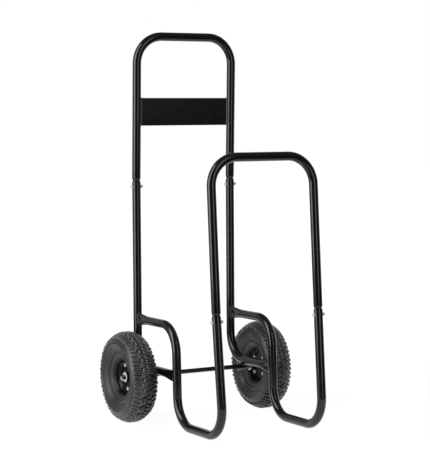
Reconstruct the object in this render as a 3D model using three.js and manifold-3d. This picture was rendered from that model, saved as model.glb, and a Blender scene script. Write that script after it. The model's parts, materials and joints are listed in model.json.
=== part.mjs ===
// Fireside log cart: two bolted tube hoops on a pair of welded side frames, a cross axle
// and two pneumatic wheels.  Millimetres, +Z up, the low front hoop towards -Y.
// Every size is taken from the axle (y = 0) and the floor (z = 0); the finished cart is
// then moved so that its origin lies on the floor at the centre of its footprint.

import * as THREE from 'three';
import { mergeVertices } from 'three/addons/utils/BufferGeometryUtils.js';
import Module from 'manifold-3d';

const wasm = await Module();
wasm.setup();

// ---------------------------------------------------------------- driving dimensions

// Tube frame, to tube centre lines
const rearHalfSpacing = 155;      // centre plane to handle hoop and side frames
const frontFlare = 4;             // the front hoop stands wider by this much on each side
const rearTubeDiameter = 25;
const loopTubeDiameter = 25;
const tubeWall = 1.5;
const bendRadius = 78;
const handleTopHeight = 1104.5;
const handleTopSetback = 37.4;    // behind the axle
const rearJointHeight = 687;
const rearJointSetback = 58.5;
const kneeSetback = 68;
const loopTopHeight = 287;
const loopRearReach = 177.4;      // in front of the axle, at the top of the rear upright
const footRearReach = 181.4;      // the same upright at the floor
const footFrontReach = 443.8;
const frontJointHeight = 337;
const frontJointReach = 420.5;
const frontTopHeight = 757;
const frontTopReach = 399.4;

// Pressed tube ends where one tube is welded to the side of another
const pressedPinch = 0.62;        // share of the width squeezed out at mid height
const pressedStretch = 0.34;      // growth in height that goes with it
const pressedLength = 60;
const pressedSteps = [0, 0.35, 0.65, 1];  // places of its rings, as shares of that length
const legPressedDrop = 3;         // the back leg's pressed end sits lower than its centre line

// Bolted joints between hoops and side frames
const spigotLength = 32;
const neckLength = 4;             // narrow neck left in view above the lower tube
const shoulderLength = 5;
const jointBoltDrop = 15;         // bolt centre below the rim of the lower tube
const boltDiameter = 6;
const hexWidth = 10;              // across flats of heads and nuts
const headThickness = 4;
const nutThickness = 5;
const threadEnd = 3;              // thread left in view past each nut

// Handle plate
const plateHeight = 80;
const plateThickness = 2;
const plateBottomHeight = 848;
const weldLeg = 3;                // leg of the fillet welds along the plate's ends

// Axle and its gusset plates
const axleDiameter = 13;
const axleGap = 0.6;              // axle to the tube above it
const axleEndLength = 6;          // axle past the split pin
const gussetThickness = 5;
const gussetFrontReach = 64;
const gussetRearSetback = 26;
const gussetLowDrop = 17;         // lowest corner below the axle centre
const gussetTipHeight = 3;
const axleChamfer = 1;
const collarDiameter = 19;
const collarLength = 11;
const washerDiameter = 28;
const washerThickness = 2;
const pinWireDiameter = 1.6;
const pinTilt = Math.PI / 4;      // the pin slopes from its eye, low at the rear
const pinEyeReach = 15;           // split pin's eye and legs, from the axle centre
const pinEyeLength = 4.5;
const pinEyeHalfWidth = 3;
const pinLegReach = 9.5;
const pinLegSpread = 3;           // half distance between the bent tips

// Wheels
const tyreDiameter = 260;
const tyreWidth = 82;
const widestShare = [1, 0.62];    // tyre section: [share of the half width, share of the
const shoulderFootShare = [0.97, 0.715];  // height from bead to crown]
const shoulderEdgeShare = [0.82, 0.86];
const crownEdgeShare = [0.2, 1];
const beadWidth = 9;
const beadThickness = 7;
const grooveDepth = 5;
const treadThickness = 5;
const sidewallThickness = 5.5;
const cavityCrownShare = 0.5;     // flat of the cavity under the tread, of the width
const lugCount = 56;
const lugShare = 0.62;            // share of the pitch that is rubber
const beadSeatDiameter = 97.8;
const lipDiameter = 106;
const rimHalfWidth = 20;
const rimSheet = 2;
const rimDraft = 0.4;             // lean of the pressed lip
const discDiameter = 82;
const tubeSkin = 2.2;             // rubber of the inner tube
const hubDiameter = 25;
const hubBore = 20;
const hubOutboard = 9.5;          // hub ends, from the wheel's middle plane
const hubRecess = 3;              // inboard end of the hub inside the tyre's face
const hubFlangeDiameter = 80;
const hubFlangeThickness = 3;
const bushLength = 14;
const rimBoltCircle = 68;
const rimBoltCount = 4;
const leftWheelTurn = 9;          // the left wheel stands turned by this many lugs
const valveDiameter = 8;
const valveNeckDiameter = 5.6;
const valveCollarLength = 4;
const valveLength = 20;           // stem in view past the rim
const valveInside = 2.2;          // stem inside the rim, from the middle of the sheet
const valveCapDiameter = 9;
const valveCapLength = 8;
const valveCapPast = 2;           // cap past the end of the stem

// Clearances and facet counts
const gap = 0.3;                  // between pieces that rest on or pass through each other
const runningGap = 0.06;          // between the axle and the bushes that turn on it
const tubeSides = 12;
const boreSides = 8;
const bendSteps = 4;              // facets along each bend
const smallKink = 0.15;           // radians; a slighter turn is one mitred ring
const sideSegments = lugCount / 2;
const cavitySegments = lugCount / 4;
const rimSegments = 14;
const shaftSides = 12;
const boltSides = 6;
const pinSides = 5;
const pinSteps = 16;
const mergeDistance = 1e-4;       // vertices closer than this are one

// ---------------------------------------------------------------- derived sizes

const axleHeight = tyreDiameter / 2;
const axleRadius = axleDiameter / 2;
const rearTubeRadius = rearTubeDiameter / 2;
const loopTubeRadius = loopTubeDiameter / 2;
const frontHalfSpacing = rearHalfSpacing + frontFlare;
const tubeFlank = rearHalfSpacing + rearTubeRadius;
const runHeight = axleHeight + axleRadius + axleGap + rearTubeRadius;
const discFace = hubFlangeThickness / 2 + gap / 2;       // inner face of each rim disc
const boltHoleRadius = boltDiameter / 2 + gap;
const boltRadius = boltDiameter / 2;
const hubInboard = tyreWidth / 2 - hubRecess;
const innerWasherFrom = tubeFlank + gap + collarLength + gap;
const hubInnerEnd = innerWasherFrom + washerThickness + gap;
const wheelHalfTrack = hubInnerEnd + hubInboard;
const hubOuterEnd = wheelHalfTrack + hubOutboard;

const axisX = new THREE.Vector3(1, 0, 0);
const sides = { left: -1, right: 1 };

const paint = { color: '#131314', roughness: 0.28, metalness: 0.2 };
const satinPaint = { color: '#161617', roughness: 0.5, metalness: 0.2 };
const zinc = { color: '#c9ccce', roughness: 0.35, metalness: 0.9 };
const rubber = { color: '#3a3a3e', roughness: 0.85, metalness: 0 };
const nylon = { color: '#1d1d1f', roughness: 0.55, metalness: 0 };

// ---------------------------------------------------------------- solid helpers

function pieceMesh(name, geometry, finish) {
  const mesh = new THREE.Mesh(geometry, new THREE.MeshStandardMaterial(finish));
  mesh.name = name;
  return mesh;
}

// Position-only, merged geometry whose faces point outwards
function closedSurface(geometry) {
  const bare = geometry.index ? geometry.toNonIndexed() : geometry.clone();
  bare.deleteAttribute('normal');
  bare.deleteAttribute('uv');
  const merged = mergeVertices(bare, mergeDistance);
  if (signedVolume(merged) < 0) flipFaces(merged);
  return merged;
}

function signedVolume(geometry) {
  const at = (i) => new THREE.Vector3().fromBufferAttribute(geometry.attributes.position, i);
  const index = geometry.index.array;
  let volume = 0;
  for (let i = 0; i < index.length; i += 3) {
    volume += at(index[i]).dot(at(index[i + 1]).cross(at(index[i + 2]))) / 6;
  }
  return volume;
}

function flipFaces(geometry) {
  const index = geometry.index.array;
  for (let i = 0; i < index.length; i += 3) {
    [index[i + 1], index[i + 2]] = [index[i + 2], index[i + 1]];
  }
}

function toManifold(geometry) {
  const surface = closedSurface(geometry);
  return new wasm.Manifold(new wasm.Mesh({
    numProp: 3,
    vertProperties: new Float32Array(surface.attributes.position.array),
    triVerts: new Uint32Array(surface.index.array),
  }));
}

function fromManifold(solid) {
  const mesh = solid.getMesh();
  const geometry = new THREE.BufferGeometry();
  geometry.setAttribute('position', new THREE.BufferAttribute(mesh.vertProperties, 3));
  geometry.setIndex(new THREE.BufferAttribute(mesh.triVerts, 1));
  return geometry;
}

function cut(geometry, ...cutters) {
  return fromManifold(cutters.reduce((solid, cutter) => solid.subtract(toManifold(cutter)),
    toManifold(geometry)));
}

function join(geometry, ...others) {
  return fromManifold(others.reduce((solid, other) => solid.add(toManifold(other)),
    toManifold(geometry)));
}

// Radius of the corners of a polygon whose flats lie at the given radius
function cornerRadius(flatRadius, count) {
  return flatRadius / Math.cos(Math.PI / count);
}

// Round bar along X from one x to another; its flats lie at the stated radius
function barAlongX(from, to, radius, count) {
  const bar = new THREE.CylinderGeometry(cornerRadius(radius, count), cornerRadius(radius, count),
    to - from, count);
  return bar.rotateY(Math.PI / count).rotateZ(-Math.PI / 2).translate((from + to) / 2, 0, 0);
}

// Closed profile of [x, radius] pairs turned about the X axis, with a corner towards +Y
function turned(profile, segments) {
  const points = [...profile, profile[0]].map(([x, radius]) => new THREE.Vector2(radius, x));
  return closedSurface(new THREE.LatheGeometry(points, segments).rotateZ(-Math.PI / 2)
    .rotateX(-Math.PI / 2));
}

// Ring-shaped piece along X: washer, spacer or bush
function sleeve(from, to, outerRadius, boreRadius, segments) {
  return turned([[from, boreRadius], [from, outerRadius], [to, outerRadius], [to, boreRadius]],
    segments);
}

// Flat outline drawn in (y, z), given a thickness along X and centred on x = 0
function plateAcrossX(shape, thickness, curveSegments) {
  const flat = new THREE.ExtrudeGeometry(shape, { depth: thickness, bevelEnabled: false,
    curveSegments });
  const turn = new THREE.Matrix4().makeBasis(new THREE.Vector3(0, 1, 0),
    new THREE.Vector3(0, 0, 1), axisX);
  return closedSurface(flat.translate(0, 0, -thickness / 2).applyMatrix4(turn));
}

// ---------------------------------------------------------------- skins made of rings

// A ring is { points, angles } with rising angles.  Neighbouring rings are joined by walking
// round both, so a ring of many points can meet a ring of few.
function joinRings(first, second, faces) {
  const count = { a: first.ids.length, b: second.ids.length };
  const angleAt = (ring, i) => ring.angles[i % ring.angles.length]
    + (i >= ring.angles.length ? 2 * Math.PI : 0);
  let a = 0;
  let b = 0;
  while (a < count.a || b < count.b) {
    const here = [first.ids[a % count.a], second.ids[b % count.b]];
    const stepFirst = b >= count.b
      || (a < count.a && angleAt(first, a + 1) <= angleAt(second, b + 1));
    if (stepFirst) {
      a += 1;
      faces.push(here[0], first.ids[a % count.a], here[1]);
    } else {
      b += 1;
      faces.push(here[0], second.ids[b % count.b], here[1]);
    }
  }
}

// Skin over a loop of rings: the last ring is joined back to the first
function skin(rings) {
  const positions = [];
  const faces = [];
  const numbered = rings.map((ring) => {
    const start = positions.length / 3;
    ring.points.forEach((point) => positions.push(point.x, point.y, point.z));
    return { angles: ring.angles, ids: ring.points.map((_, i) => start + i) };
  });
  numbered.forEach((ring, i) => joinRings(ring, numbered[(i + 1) % numbered.length], faces));
  const geometry = new THREE.BufferGeometry();
  geometry.setAttribute('position', new THREE.Float32BufferAttribute(positions, 3));
  geometry.setIndex(faces);
  return closedSurface(geometry);
}

// ---------------------------------------------------------------- bent tubes

function directionTo(from, to) {
  return to.clone().sub(from).normalize();
}

// Places for rings round one bend; a slight kink gets a single mitred ring
function bendStations(before, corner, after, radius) {
  const into = directionTo(before, corner);
  const out = directionTo(corner, after);
  const turn = into.angleTo(out);
  if (turn < smallKink) return [{ point: corner.clone(), along: into.add(out).normalize() }];
  const axis = into.clone().cross(out).normalize();
  const start = corner.clone().addScaledVector(into, -radius * Math.tan(turn / 2));
  const centre = start.clone().addScaledVector(axis.clone().cross(into), radius);
  return Array.from({ length: bendSteps + 1 }, (_, i) => {
    const swing = (turn * i) / bendSteps;
    const arm = start.clone().sub(centre).applyAxisAngle(axis, swing);
    return { point: centre.clone().add(arm), along: into.clone().applyAxisAngle(axis, swing) };
  });
}

// Stations on a straight end of the tube, at given distances from its end point
function endStations(end, next, distances, along) {
  const inwards = directionTo(end, next);
  return distances.map((distance) => ({
    point: end.clone().addScaledVector(inwards, distance), along: along.clone(), distance,
  }));
}

function tubeStations({ corners, radius, startBreaks = [], endBreaks = [] }) {
  const last = corners.length - 1;
  const startAlong = directionTo(corners[0], corners[1]);
  const endAlong = directionTo(corners[last - 1], corners[last]);
  const start = endStations(corners[0], corners[1], [0, ...startBreaks], startAlong);
  const end = endStations(corners[last], corners[last - 1], [0, ...endBreaks], endAlong);
  const bends = corners.slice(1, last).flatMap((corner, i) => bendStations(corners[i], corner,
    corners[i + 2], radius));
  return [
    ...start.map((station) => ({ ...station, end: 'start' })),
    ...bends,
    ...end.reverse().map((station) => ({ ...station, end: 'end' })),
  ];
}

// Ring of points; pinch squeezes it along the normal, stretch makes it taller and drop
// moves it down
function tubeRing(station, normal, { radius, pinch, stretch, drop }, count) {
  const out = normal.clone().addScaledVector(station.along, -normal.dot(station.along)).normalize();
  const up = station.along.clone().cross(out);
  const corner = cornerRadius(radius, count);
  const angles = Array.from({ length: count }, (_, i) => ((i + 0.5) * 2 * Math.PI) / count);
  const points = angles.map((angle) => {
    const across = corner * Math.cos(angle) * (1 - pinch * Math.cos(angle) ** 2);
    const tall = corner * Math.sin(angle) * (1 + stretch) - drop;
    return station.point.clone().addScaledVector(out, across).addScaledVector(up, tall);
  });
  return { points, angles };
}

// The bore keeps the wall thickness at the sides and at the top of a pressed section
function boreSection({ radius, pinch, stretch, drop }) {
  const bore = radius - tubeWall;
  return {
    drop,
    radius: bore,
    pinch: 1 - (radius * (1 - pinch) - tubeWall) / bore,
    stretch: (radius * (1 + stretch) - tubeWall) / bore - 1,
  };
}

// Open-ended bent tube; sectionAt gives the outer section at a station
function bentTube({ normal, sectionAt, ...path }) {
  const stations = tubeStations(path);
  const outer = stations.map((station) => tubeRing(station, normal, sectionAt(station),
    tubeSides));
  const inner = stations.map((station) => tubeRing(station, normal,
    boreSection(sectionAt(station)), boreSides));
  return skin([...outer, ...inner.reverse()]);
}

function roundSection(radius) {
  return { radius, pinch: 0, stretch: 0, drop: 0 };
}

// Section of a tube end pressed tall and narrow, easing back to round over pressedLength
function pressedSection(radius, distance, seat, drop) {
  const press = 1 - THREE.MathUtils.smoothstep(distance, seat, seat + pressedLength);
  return { radius, pinch: pressedPinch * press, stretch: pressedStretch * press,
    drop: drop * press };
}

function pressedBreaks(seat) {
  return pressedSteps.map((share) => seat + pressedLength * share);
}

// ---------------------------------------------------------------- frame centre lines

const rearJointAt = (side) => new THREE.Vector3(side * rearHalfSpacing, rearJointSetback,
  rearJointHeight);
const kneeAt = (side) => new THREE.Vector3(side * rearHalfSpacing, kneeSetback, runHeight);
const frontJointAt = (side) => new THREE.Vector3(side * frontHalfSpacing, -frontJointReach,
  frontJointHeight);
const footFrontAt = (side) => new THREE.Vector3(side * rearHalfSpacing, -footFrontReach,
  loopTubeRadius);
const footRearAt = (side) => new THREE.Vector3(side * rearHalfSpacing, -footRearReach,
  loopTubeRadius);
const loopTopAt = (side) => new THREE.Vector3(side * rearHalfSpacing, -loopRearReach,
  loopTopHeight);

// Point at a height on the straight line through two points
function pointAtHeight(low, high, height) {
  return low.clone().lerp(high, (height - low.z) / (high.z - low.z));
}

const backLegAt = (side, height) => pointAtHeight(kneeAt(side), rearJointAt(side), height);
const loopUprightAt = (side, height) => pointAtHeight(footRearAt(side), loopTopAt(side), height);

// Cutter that leaves the running gap round a tube that another tube is welded to
function saddleCutter(low, high, radius) {
  const corner = cornerRadius(radius + gap, tubeSides);
  const bar = new THREE.CylinderGeometry(corner, corner, low.distanceTo(high), tubeSides)
    .rotateY(Math.PI / tubeSides);
  const turn = new THREE.Quaternion().setFromUnitVectors(new THREE.Vector3(0, 1, 0),
    directionTo(low, high));
  const middle = low.clone().lerp(high, 0.5);
  return bar.applyQuaternion(turn).translate(middle.x, middle.y, middle.z);
}

// Hole for a joint bolt, along X through both walls at a point on the tube's centre line
function boltHole(point) {
  const reach = loopTubeDiameter + rearTubeDiameter;
  return barAlongX(-reach, reach, boltHoleRadius, boltSides)
    .translate(point.x, point.y, point.z);
}

function jointBoltCentre(seam, lowerEnd) {
  return seam.clone().addScaledVector(directionTo(seam, lowerEnd), jointBoltDrop);
}

// ---------------------------------------------------------------- hoops

// Hoop with a swaged spigot on each leg that plugs into the tube below
function hoop({ seam, lowerEnd, top, tubeRadius, lowerRadius }) {
  const spigotRadius = (lowerRadius - tubeWall - gap) * Math.cos(Math.PI / tubeSides);
  const shoulder = spigotLength + neckLength + shoulderLength;
  const legCorners = (side) => {
    const up = directionTo(lowerEnd(side), seam(side));
    const spigotEnd = seam(side).addScaledVector(up, -spigotLength);
    const kink = spigotEnd.clone().addScaledVector(up, shoulder);
    return [spigotEnd, kink, top(side)];
  };
  const left = legCorners(sides.left);
  const right = legCorners(sides.right).reverse();
  const normal = directionTo(left[1], left[2]).cross(axisX).normalize();
  const sectionAt = (station) => roundSection(station.end ? spigotRadius : tubeRadius);
  const tube = bentTube({ corners: [...left, ...right], radius: bendRadius, normal, sectionAt,
    startBreaks: [spigotLength + neckLength], endBreaks: [spigotLength + neckLength] });
  const holes = Object.values(sides).map((side) => boltHole(jointBoltCentre(seam(side),
    lowerEnd(side))));
  return cut(tube, ...holes);
}

const handleTopAt = (side) => new THREE.Vector3(side * rearHalfSpacing, handleTopSetback,
  handleTopHeight);
const frontTopAt = (side) => new THREE.Vector3(side * frontHalfSpacing, -frontTopReach,
  frontTopHeight);

function handleHoop() {
  return pieceMesh('handle_hoop', hoop({ seam: rearJointAt, lowerEnd: kneeAt, top: handleTopAt,
    tubeRadius: rearTubeRadius, lowerRadius: rearTubeRadius }), paint);
}

function frontHoop() {
  return pieceMesh('front_hoop', hoop({ seam: frontJointAt, lowerEnd: footFrontAt,
    top: frontTopAt, tubeRadius: loopTubeRadius, lowerRadius: loopTubeRadius }), paint);
}

// Flat plate between the handle's legs; its ends swell into the fillet welds
function handlePlate() {
  const end = rearHalfSpacing - rearTubeRadius - gap;
  const half = plateThickness / 2;
  const seatHalf = Math.min(half + weldLeg, rearTubeRadius * Math.tan(Math.PI / tubeSides));
  const outline = [[-end, -seatHalf], [-end + weldLeg, -half], [end - weldLeg, -half],
    [end, -seatHalf], [end, seatHalf], [end - weldLeg, half], [-end + weldLeg, half],
    [-end, seatHalf]];
  const shape = new THREE.Shape(outline.map(([x, y]) => new THREE.Vector2(x, y)));
  const plate = new THREE.ExtrudeGeometry(shape, { depth: plateHeight, bevelEnabled: false });
  const legTop = handleTopAt(sides.left);
  const legLow = rearJointAt(sides.left);
  const lean = Math.atan2(legLow.y - legTop.y, legTop.z - legLow.z);
  const mesh = pieceMesh('handle_plate', closedSurface(plate), satinPaint);
  mesh.rotation.x = lean;
  mesh.position.copy(pointAtHeight(legLow, legTop, plateBottomHeight)).setX(0);
  return mesh;
}

// ---------------------------------------------------------------- side frames

// Back leg: straight up to the handle, bent forward under the load and pressed at its end
function backLeg(name, side) {
  const front = loopUprightAt(side, runHeight);
  const sectionAt = (station) => (station.end === 'end'
    ? pressedSection(rearTubeRadius, station.distance, loopTubeRadius, legPressedDrop)
    : roundSection(rearTubeRadius));
  const tube = bentTube({ corners: [rearJointAt(side), kneeAt(side), front],
    radius: bendRadius, normal: axisX, sectionAt, endBreaks: pressedBreaks(loopTubeRadius) });
  const saddle = saddleCutter(footRearAt(side), loopTopAt(side), loopTubeRadius);
  const hole = boltHole(jointBoltCentre(rearJointAt(side), kneeAt(side)));
  return pieceMesh(`back_leg_${name}`, cut(tube, saddle, hole), paint);
}

// Side loop: off the back leg, down, along the floor and up to the front hoop
function sideLoop(name, side) {
  const weld = backLegAt(side, loopTopHeight);
  const sectionAt = (station) => (station.end === 'start'
    ? pressedSection(loopTubeRadius, station.distance, rearTubeRadius, 0)
    : roundSection(loopTubeRadius));
  const tube = bentTube({ corners: [weld, loopTopAt(side), footRearAt(side), footFrontAt(side),
    frontJointAt(side)], radius: bendRadius, normal: axisX, sectionAt,
  startBreaks: pressedBreaks(rearTubeRadius) });
  const saddle = saddleCutter(kneeAt(side), rearJointAt(side), rearTubeRadius);
  const hole = boltHole(jointBoltCentre(frontJointAt(side), footFrontAt(side)));
  return pieceMesh(`side_loop_${name}`, cut(tube, saddle, hole), paint);
}

// Gusset that hangs under the back leg and carries the axle; its top follows the tube's bend
function axleGusset(name, side) {
  const turn = directionTo(rearJointAt(side), kneeAt(side))
    .angleTo(new THREE.Vector3(0, -1, 0));
  const bendStart = kneeSetback - bendRadius * Math.tan(turn / 2);
  const follow = bendRadius + rearTubeRadius + gap;
  const swing = Math.asin(Math.min(1, (gussetRearSetback - bendStart) / follow));
  const underside = runHeight - rearTubeRadius - gap;
  const shape = new THREE.Shape();
  shape.moveTo(-gussetFrontReach, underside - gussetTipHeight);
  shape.lineTo(gussetRearSetback - gussetTipHeight, axleHeight - gussetLowDrop);
  shape.lineTo(gussetRearSetback, axleHeight - gussetLowDrop + gussetTipHeight);
  shape.lineTo(gussetRearSetback, underside + follow * (1 - Math.cos(swing)));
  shape.absarc(bendStart, underside + follow, follow, swing - Math.PI / 2, -Math.PI / 2, true);
  shape.lineTo(-gussetFrontReach, underside);
  const hole = new THREE.Path();
  const holeRadius = cornerRadius(axleRadius + gap, shaftSides);
  hole.absarc(0, axleHeight, holeRadius, 0, 2 * Math.PI, false);
  shape.holes.push(hole);
  const plate = plateAcrossX(shape, gussetThickness, shaftSides / 2)
    .translate(side * rearHalfSpacing, 0, 0);
  return pieceMesh(`axle_gusset_${name}`, plate, paint);
}

// ---------------------------------------------------------------- joint fasteners

// Hexagonal prism along X, flats up and down
function hexAlongX(from, to) {
  return barAlongX(from, to, hexWidth / 2, 6);
}

// Heads on the left of each tube, nuts on the right
function jointBolt(radius) {
  const seat = radius + gap;
  const tip = seat + nutThickness + threadEnd;
  const shank = barAlongX(-seat - headThickness / 2, tip, boltRadius, boltSides);
  return join(hexAlongX(-seat - headThickness, -seat), shank);
}

function jointNut(radius) {
  const seat = radius + gap;
  const bore = barAlongX(0, seat + 2 * nutThickness, boltHoleRadius, boltSides);
  return cut(hexAlongX(seat, seat + nutThickness), bore);
}

function jointFasteners(name, side) {
  const places = {
    rear: { centre: jointBoltCentre(rearJointAt(side), kneeAt(side)), radius: rearTubeRadius },
    front: { centre: jointBoltCentre(frontJointAt(side), footFrontAt(side)),
      radius: loopTubeRadius },
  };
  return Object.entries(places).flatMap(([end, { centre, radius }]) => {
    const pair = [
      pieceMesh(`joint_bolt_${end}_${name}`, jointBolt(radius), zinc),
      pieceMesh(`joint_nut_${end}_${name}`, jointNut(radius), zinc),
    ];
    pair.forEach((mesh) => mesh.position.copy(centre));
    return pair;
  });
}

// ---------------------------------------------------------------- axle

const pinCentre = hubOuterEnd + washerThickness + 2 * gap + pinWireDiameter / 2;
const axleHalfLength = pinCentre + axleEndLength;
const pinLegOffset = (pinWireDiameter + gap) / 2;
const pinHoleRadius = pinLegOffset + pinWireDiameter / 2 + gap;

// Rod with a chamfer and a cross hole for the split pin at each end
function axle() {
  const corner = cornerRadius(axleRadius, shaftSides);
  const tip = corner - axleChamfer;
  const rod = new THREE.LatheGeometry([
    new THREE.Vector2(0, -axleHalfLength),
    new THREE.Vector2(tip, -axleHalfLength),
    new THREE.Vector2(corner, -axleHalfLength + axleChamfer),
    new THREE.Vector2(corner, axleHalfLength - axleChamfer),
    new THREE.Vector2(tip, axleHalfLength),
    new THREE.Vector2(0, axleHalfLength),
  ], shaftSides).rotateY(Math.PI / shaftSides).rotateZ(-Math.PI / 2);
  const holes = Object.values(sides).map((side) => new THREE.CylinderGeometry(pinHoleRadius,
    pinHoleRadius, 2 * axleDiameter, boltSides).rotateX(-pinTilt)
    .translate(side * pinCentre, 0, 0));
  const mesh = pieceMesh('axle', cut(rod, ...holes), paint);
  mesh.position.z = axleHeight;
  return mesh;
}

// Split pin: an eye on one side of the axle, two bent legs on the other
function splitPin(name, side) {
  const half = [[-pinLegReach, pinLegSpread], [-axleRadius - pinWireDiameter, pinLegOffset],
    [0, pinLegOffset], [axleRadius + pinWireDiameter, pinLegOffset],
    [pinEyeReach - pinEyeLength / 2, pinEyeHalfWidth]];
  const mirrored = half.map(([y, z]) => [y, -z]).reverse();
  const points = [...half, [pinEyeReach, 0], ...mirrored]
    .map(([y, z]) => new THREE.Vector3(0, y, z));
  const wire = new THREE.Shape(Array.from({ length: pinSides }, (_, i) => new THREE.Vector2(
    Math.cos((i * 2 * Math.PI) / pinSides), Math.sin((i * 2 * Math.PI) / pinSides))
    .multiplyScalar(pinWireDiameter / 2)));
  const geometry = new THREE.ExtrudeGeometry(wire, { steps: pinSteps,
    extrudePath: new THREE.CatmullRomCurve3(points) });
  const mesh = pieceMesh(`split_pin_${name}`, closedSurface(geometry), zinc);
  mesh.position.set(side * pinCentre, 0, axleHeight);
  mesh.rotation.x = -pinTilt;
  return mesh;
}

function axleSleeves(name, side) {
  const bore = cornerRadius(axleRadius + gap, shaftSides);
  const washerRadius = washerDiameter / 2;
  const pieces = {
    washer_outer: sleeve(hubOuterEnd + gap, hubOuterEnd + gap + washerThickness, washerRadius,
      bore, shaftSides),
    washer_inner: sleeve(innerWasherFrom, innerWasherFrom + washerThickness, washerRadius, bore,
      shaftSides),
    axle_collar: sleeve(tubeFlank + gap, innerWasherFrom - gap, collarDiameter / 2, bore,
      shaftSides),
  };
  return Object.entries(pieces).map(([piece, geometry]) => {
    const finish = piece === 'axle_collar' ? paint : zinc;
    const mesh = pieceMesh(`${piece}_${name}`, geometry, finish);
    mesh.position.z = axleHeight;
    mesh.rotation.z = side < 0 ? Math.PI : 0;
    return mesh;
  });
}

// ---------------------------------------------------------------- wheels
// A wheel is drawn about the X axis with its outboard side towards +X.

function plainRing(x, radius, count) {
  const angles = Array.from({ length: count }, (_, i) => (i * 2 * Math.PI) / count);
  return ringAt(x, angles, () => radius);
}

// Tread ring with two edges to each lug and a groove between neighbours
function lugRing(x, radius, phase) {
  const pitch = (2 * Math.PI) / lugCount;
  const edge = (lugShare * pitch) / 2;
  const angles = Array.from({ length: lugCount }, (_, i) => (i + phase) * pitch)
    .flatMap((middle) => [middle - edge, middle + edge, middle + pitch / 2]);
  return ringAt(x, angles, (i) => (i % 3 === 2 ? radius - grooveDepth : radius));
}

function ringAt(x, angles, radiusAt) {
  const points = angles.map((angle, i) => new THREE.Vector3(x, radiusAt(i) * Math.cos(angle),
    radiusAt(i) * Math.sin(angle)));
  return { points, angles };
}

// Half widths and radii of the tyre's outer shape, from bead to crown
const tyreRadius = tyreDiameter / 2;
const tyreHalfWidth = tyreWidth / 2;
const lipInnerFace = rimHalfWidth - rimSheet;
const beadRadius = beadSeatDiameter / 2 + 2 * gap;
const lipClearRadius = lipDiameter / 2 + 2 * gap;
const beadFace = lipInnerFace - gap;
const beadToe = beadFace - beadWidth;
const sectionHeight = tyreRadius - beadRadius;

function tyreShape([widthShare, heightShare]) {
  return [tyreHalfWidth * widthShare, beadRadius + sectionHeight * heightShare];
}

const widest = tyreShape(widestShare);
const cavitySide = [tyreHalfWidth - sidewallThickness, widest[1]];
const cavityCrown = [tyreHalfWidth * cavityCrownShare, tyreRadius - grooveDepth - treadThickness];
const cavityBead = [beadToe + gap, beadRadius + beadThickness];

function tyre() {
  const shoulderEdge = tyreShape(shoulderEdgeShare);
  const crownEdge = tyreShape(crownEdgeShare);
  const halfSkin = (side, phase) => {
    const plain = ([x, radius], count) => plainRing(side * x, radius, count);
    return [
      plain([beadToe, beadRadius], sideSegments),
      plain([beadFace, beadRadius], sideSegments),
      plain([beadFace, lipClearRadius], sideSegments),
      plain(widest, sideSegments),
      plain(tyreShape(shoulderFootShare), sideSegments),
      lugRing(side * shoulderEdge[0], shoulderEdge[1], phase),
      lugRing(side * crownEdge[0], crownEdge[1], phase),
    ];
  };
  const halfCavity = (side) => [
    plainRing(side * cavityCrown[0], cavityCrown[1], cavitySegments),
    plainRing(side * cavitySide[0], cavitySide[1], cavitySegments),
    plainRing(side * cavityBead[0], cavityBead[1], cavitySegments),
  ];
  const crownGroove = plainRing(0, tyreRadius - grooveDepth, sideSegments);
  return skin([...halfSkin(1, 0), crownGroove, ...halfSkin(-1, 0.5).reverse(),
    ...halfCavity(-1).reverse(), ...halfCavity(1)]);
}

// Moves every side of a closed counter-clockwise profile inwards by the same amount
function insetProfile(profile, amount) {
  const corners = profile.map(([x, radius]) => new THREE.Vector2(x, radius));
  const inwards = corners.map((corner, i) => {
    const side = corners[(i + 1) % corners.length].clone().sub(corner).normalize();
    return new THREE.Vector2(-side.y, side.x);
  });
  return corners.map((corner, i) => {
    const before = inwards[(i + corners.length - 1) % corners.length];
    const shift = before.clone().add(inwards[i]).multiplyScalar(amount
      / (1 + before.dot(inwards[i])));
    return corner.add(shift).toArray();
  });
}

// Inflated tube that fills the tyre; its skin is open only at the valve
function innerTube() {
  const floor = (beadSeatDiameter / 2 + gap) / Math.cos(Math.PI / cavitySegments);
  const right = [[beadToe, floor], cavityBead, cavitySide, cavityCrown];
  const left = right.map(([x, radius]) => [-x, radius]).reverse();
  const filled = (inset) => turned(insetProfile([...right, ...left], inset), cavitySegments);
  const valveOpening = valveBar(-2 * beadThickness, 0, valveNeckDiameter / 4);
  return cut(filled(2 * gap), filled(2 * gap + tubeSkin), valveOpening);
}

const rimMitre = rimSheet * Math.tan(Math.PI / 8);       // inside of the sheet's 45 degree bends

// Half rim pressed from sheet: flat bolted disc, sloping well, bead seat and turned-out lip
function rimHalf() {
  const seat = beadSeatDiameter / 2;
  const centreHole = cornerRadius(hubDiameter / 2 + gap, rimSegments);
  const disc = discDiameter / 2;
  const wellWidth = seat - disc;
  const bolted = turned([
    [discFace, centreHole],
    [discFace, disc],
    [discFace + wellWidth, seat],
    [lipInnerFace, seat],
    [lipInnerFace + rimDraft, lipDiameter / 2],
    [rimHalfWidth, lipDiameter / 2],
    [rimHalfWidth - rimDraft, seat - rimSheet],
    [discFace + wellWidth + rimMitre, seat - rimSheet],
    [discFace + rimSheet, disc - rimMitre],
    [discFace + rimSheet, centreHole],
  ], rimSegments);
  return cut(bolted, ...boltHoles());
}

function aroundBoltCircle(make) {
  return Array.from({ length: rimBoltCount }, (_, i) => {
    const angle = ((i + 0.5) * 2 * Math.PI) / rimBoltCount;
    return make().translate(0, 0, rimBoltCircle / 2).rotateX(angle);
  });
}

function boltHoles() {
  return aroundBoltCircle(() => barAlongX(-rimHalfWidth, rimHalfWidth, boltHoleRadius,
    boltSides));
}

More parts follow.
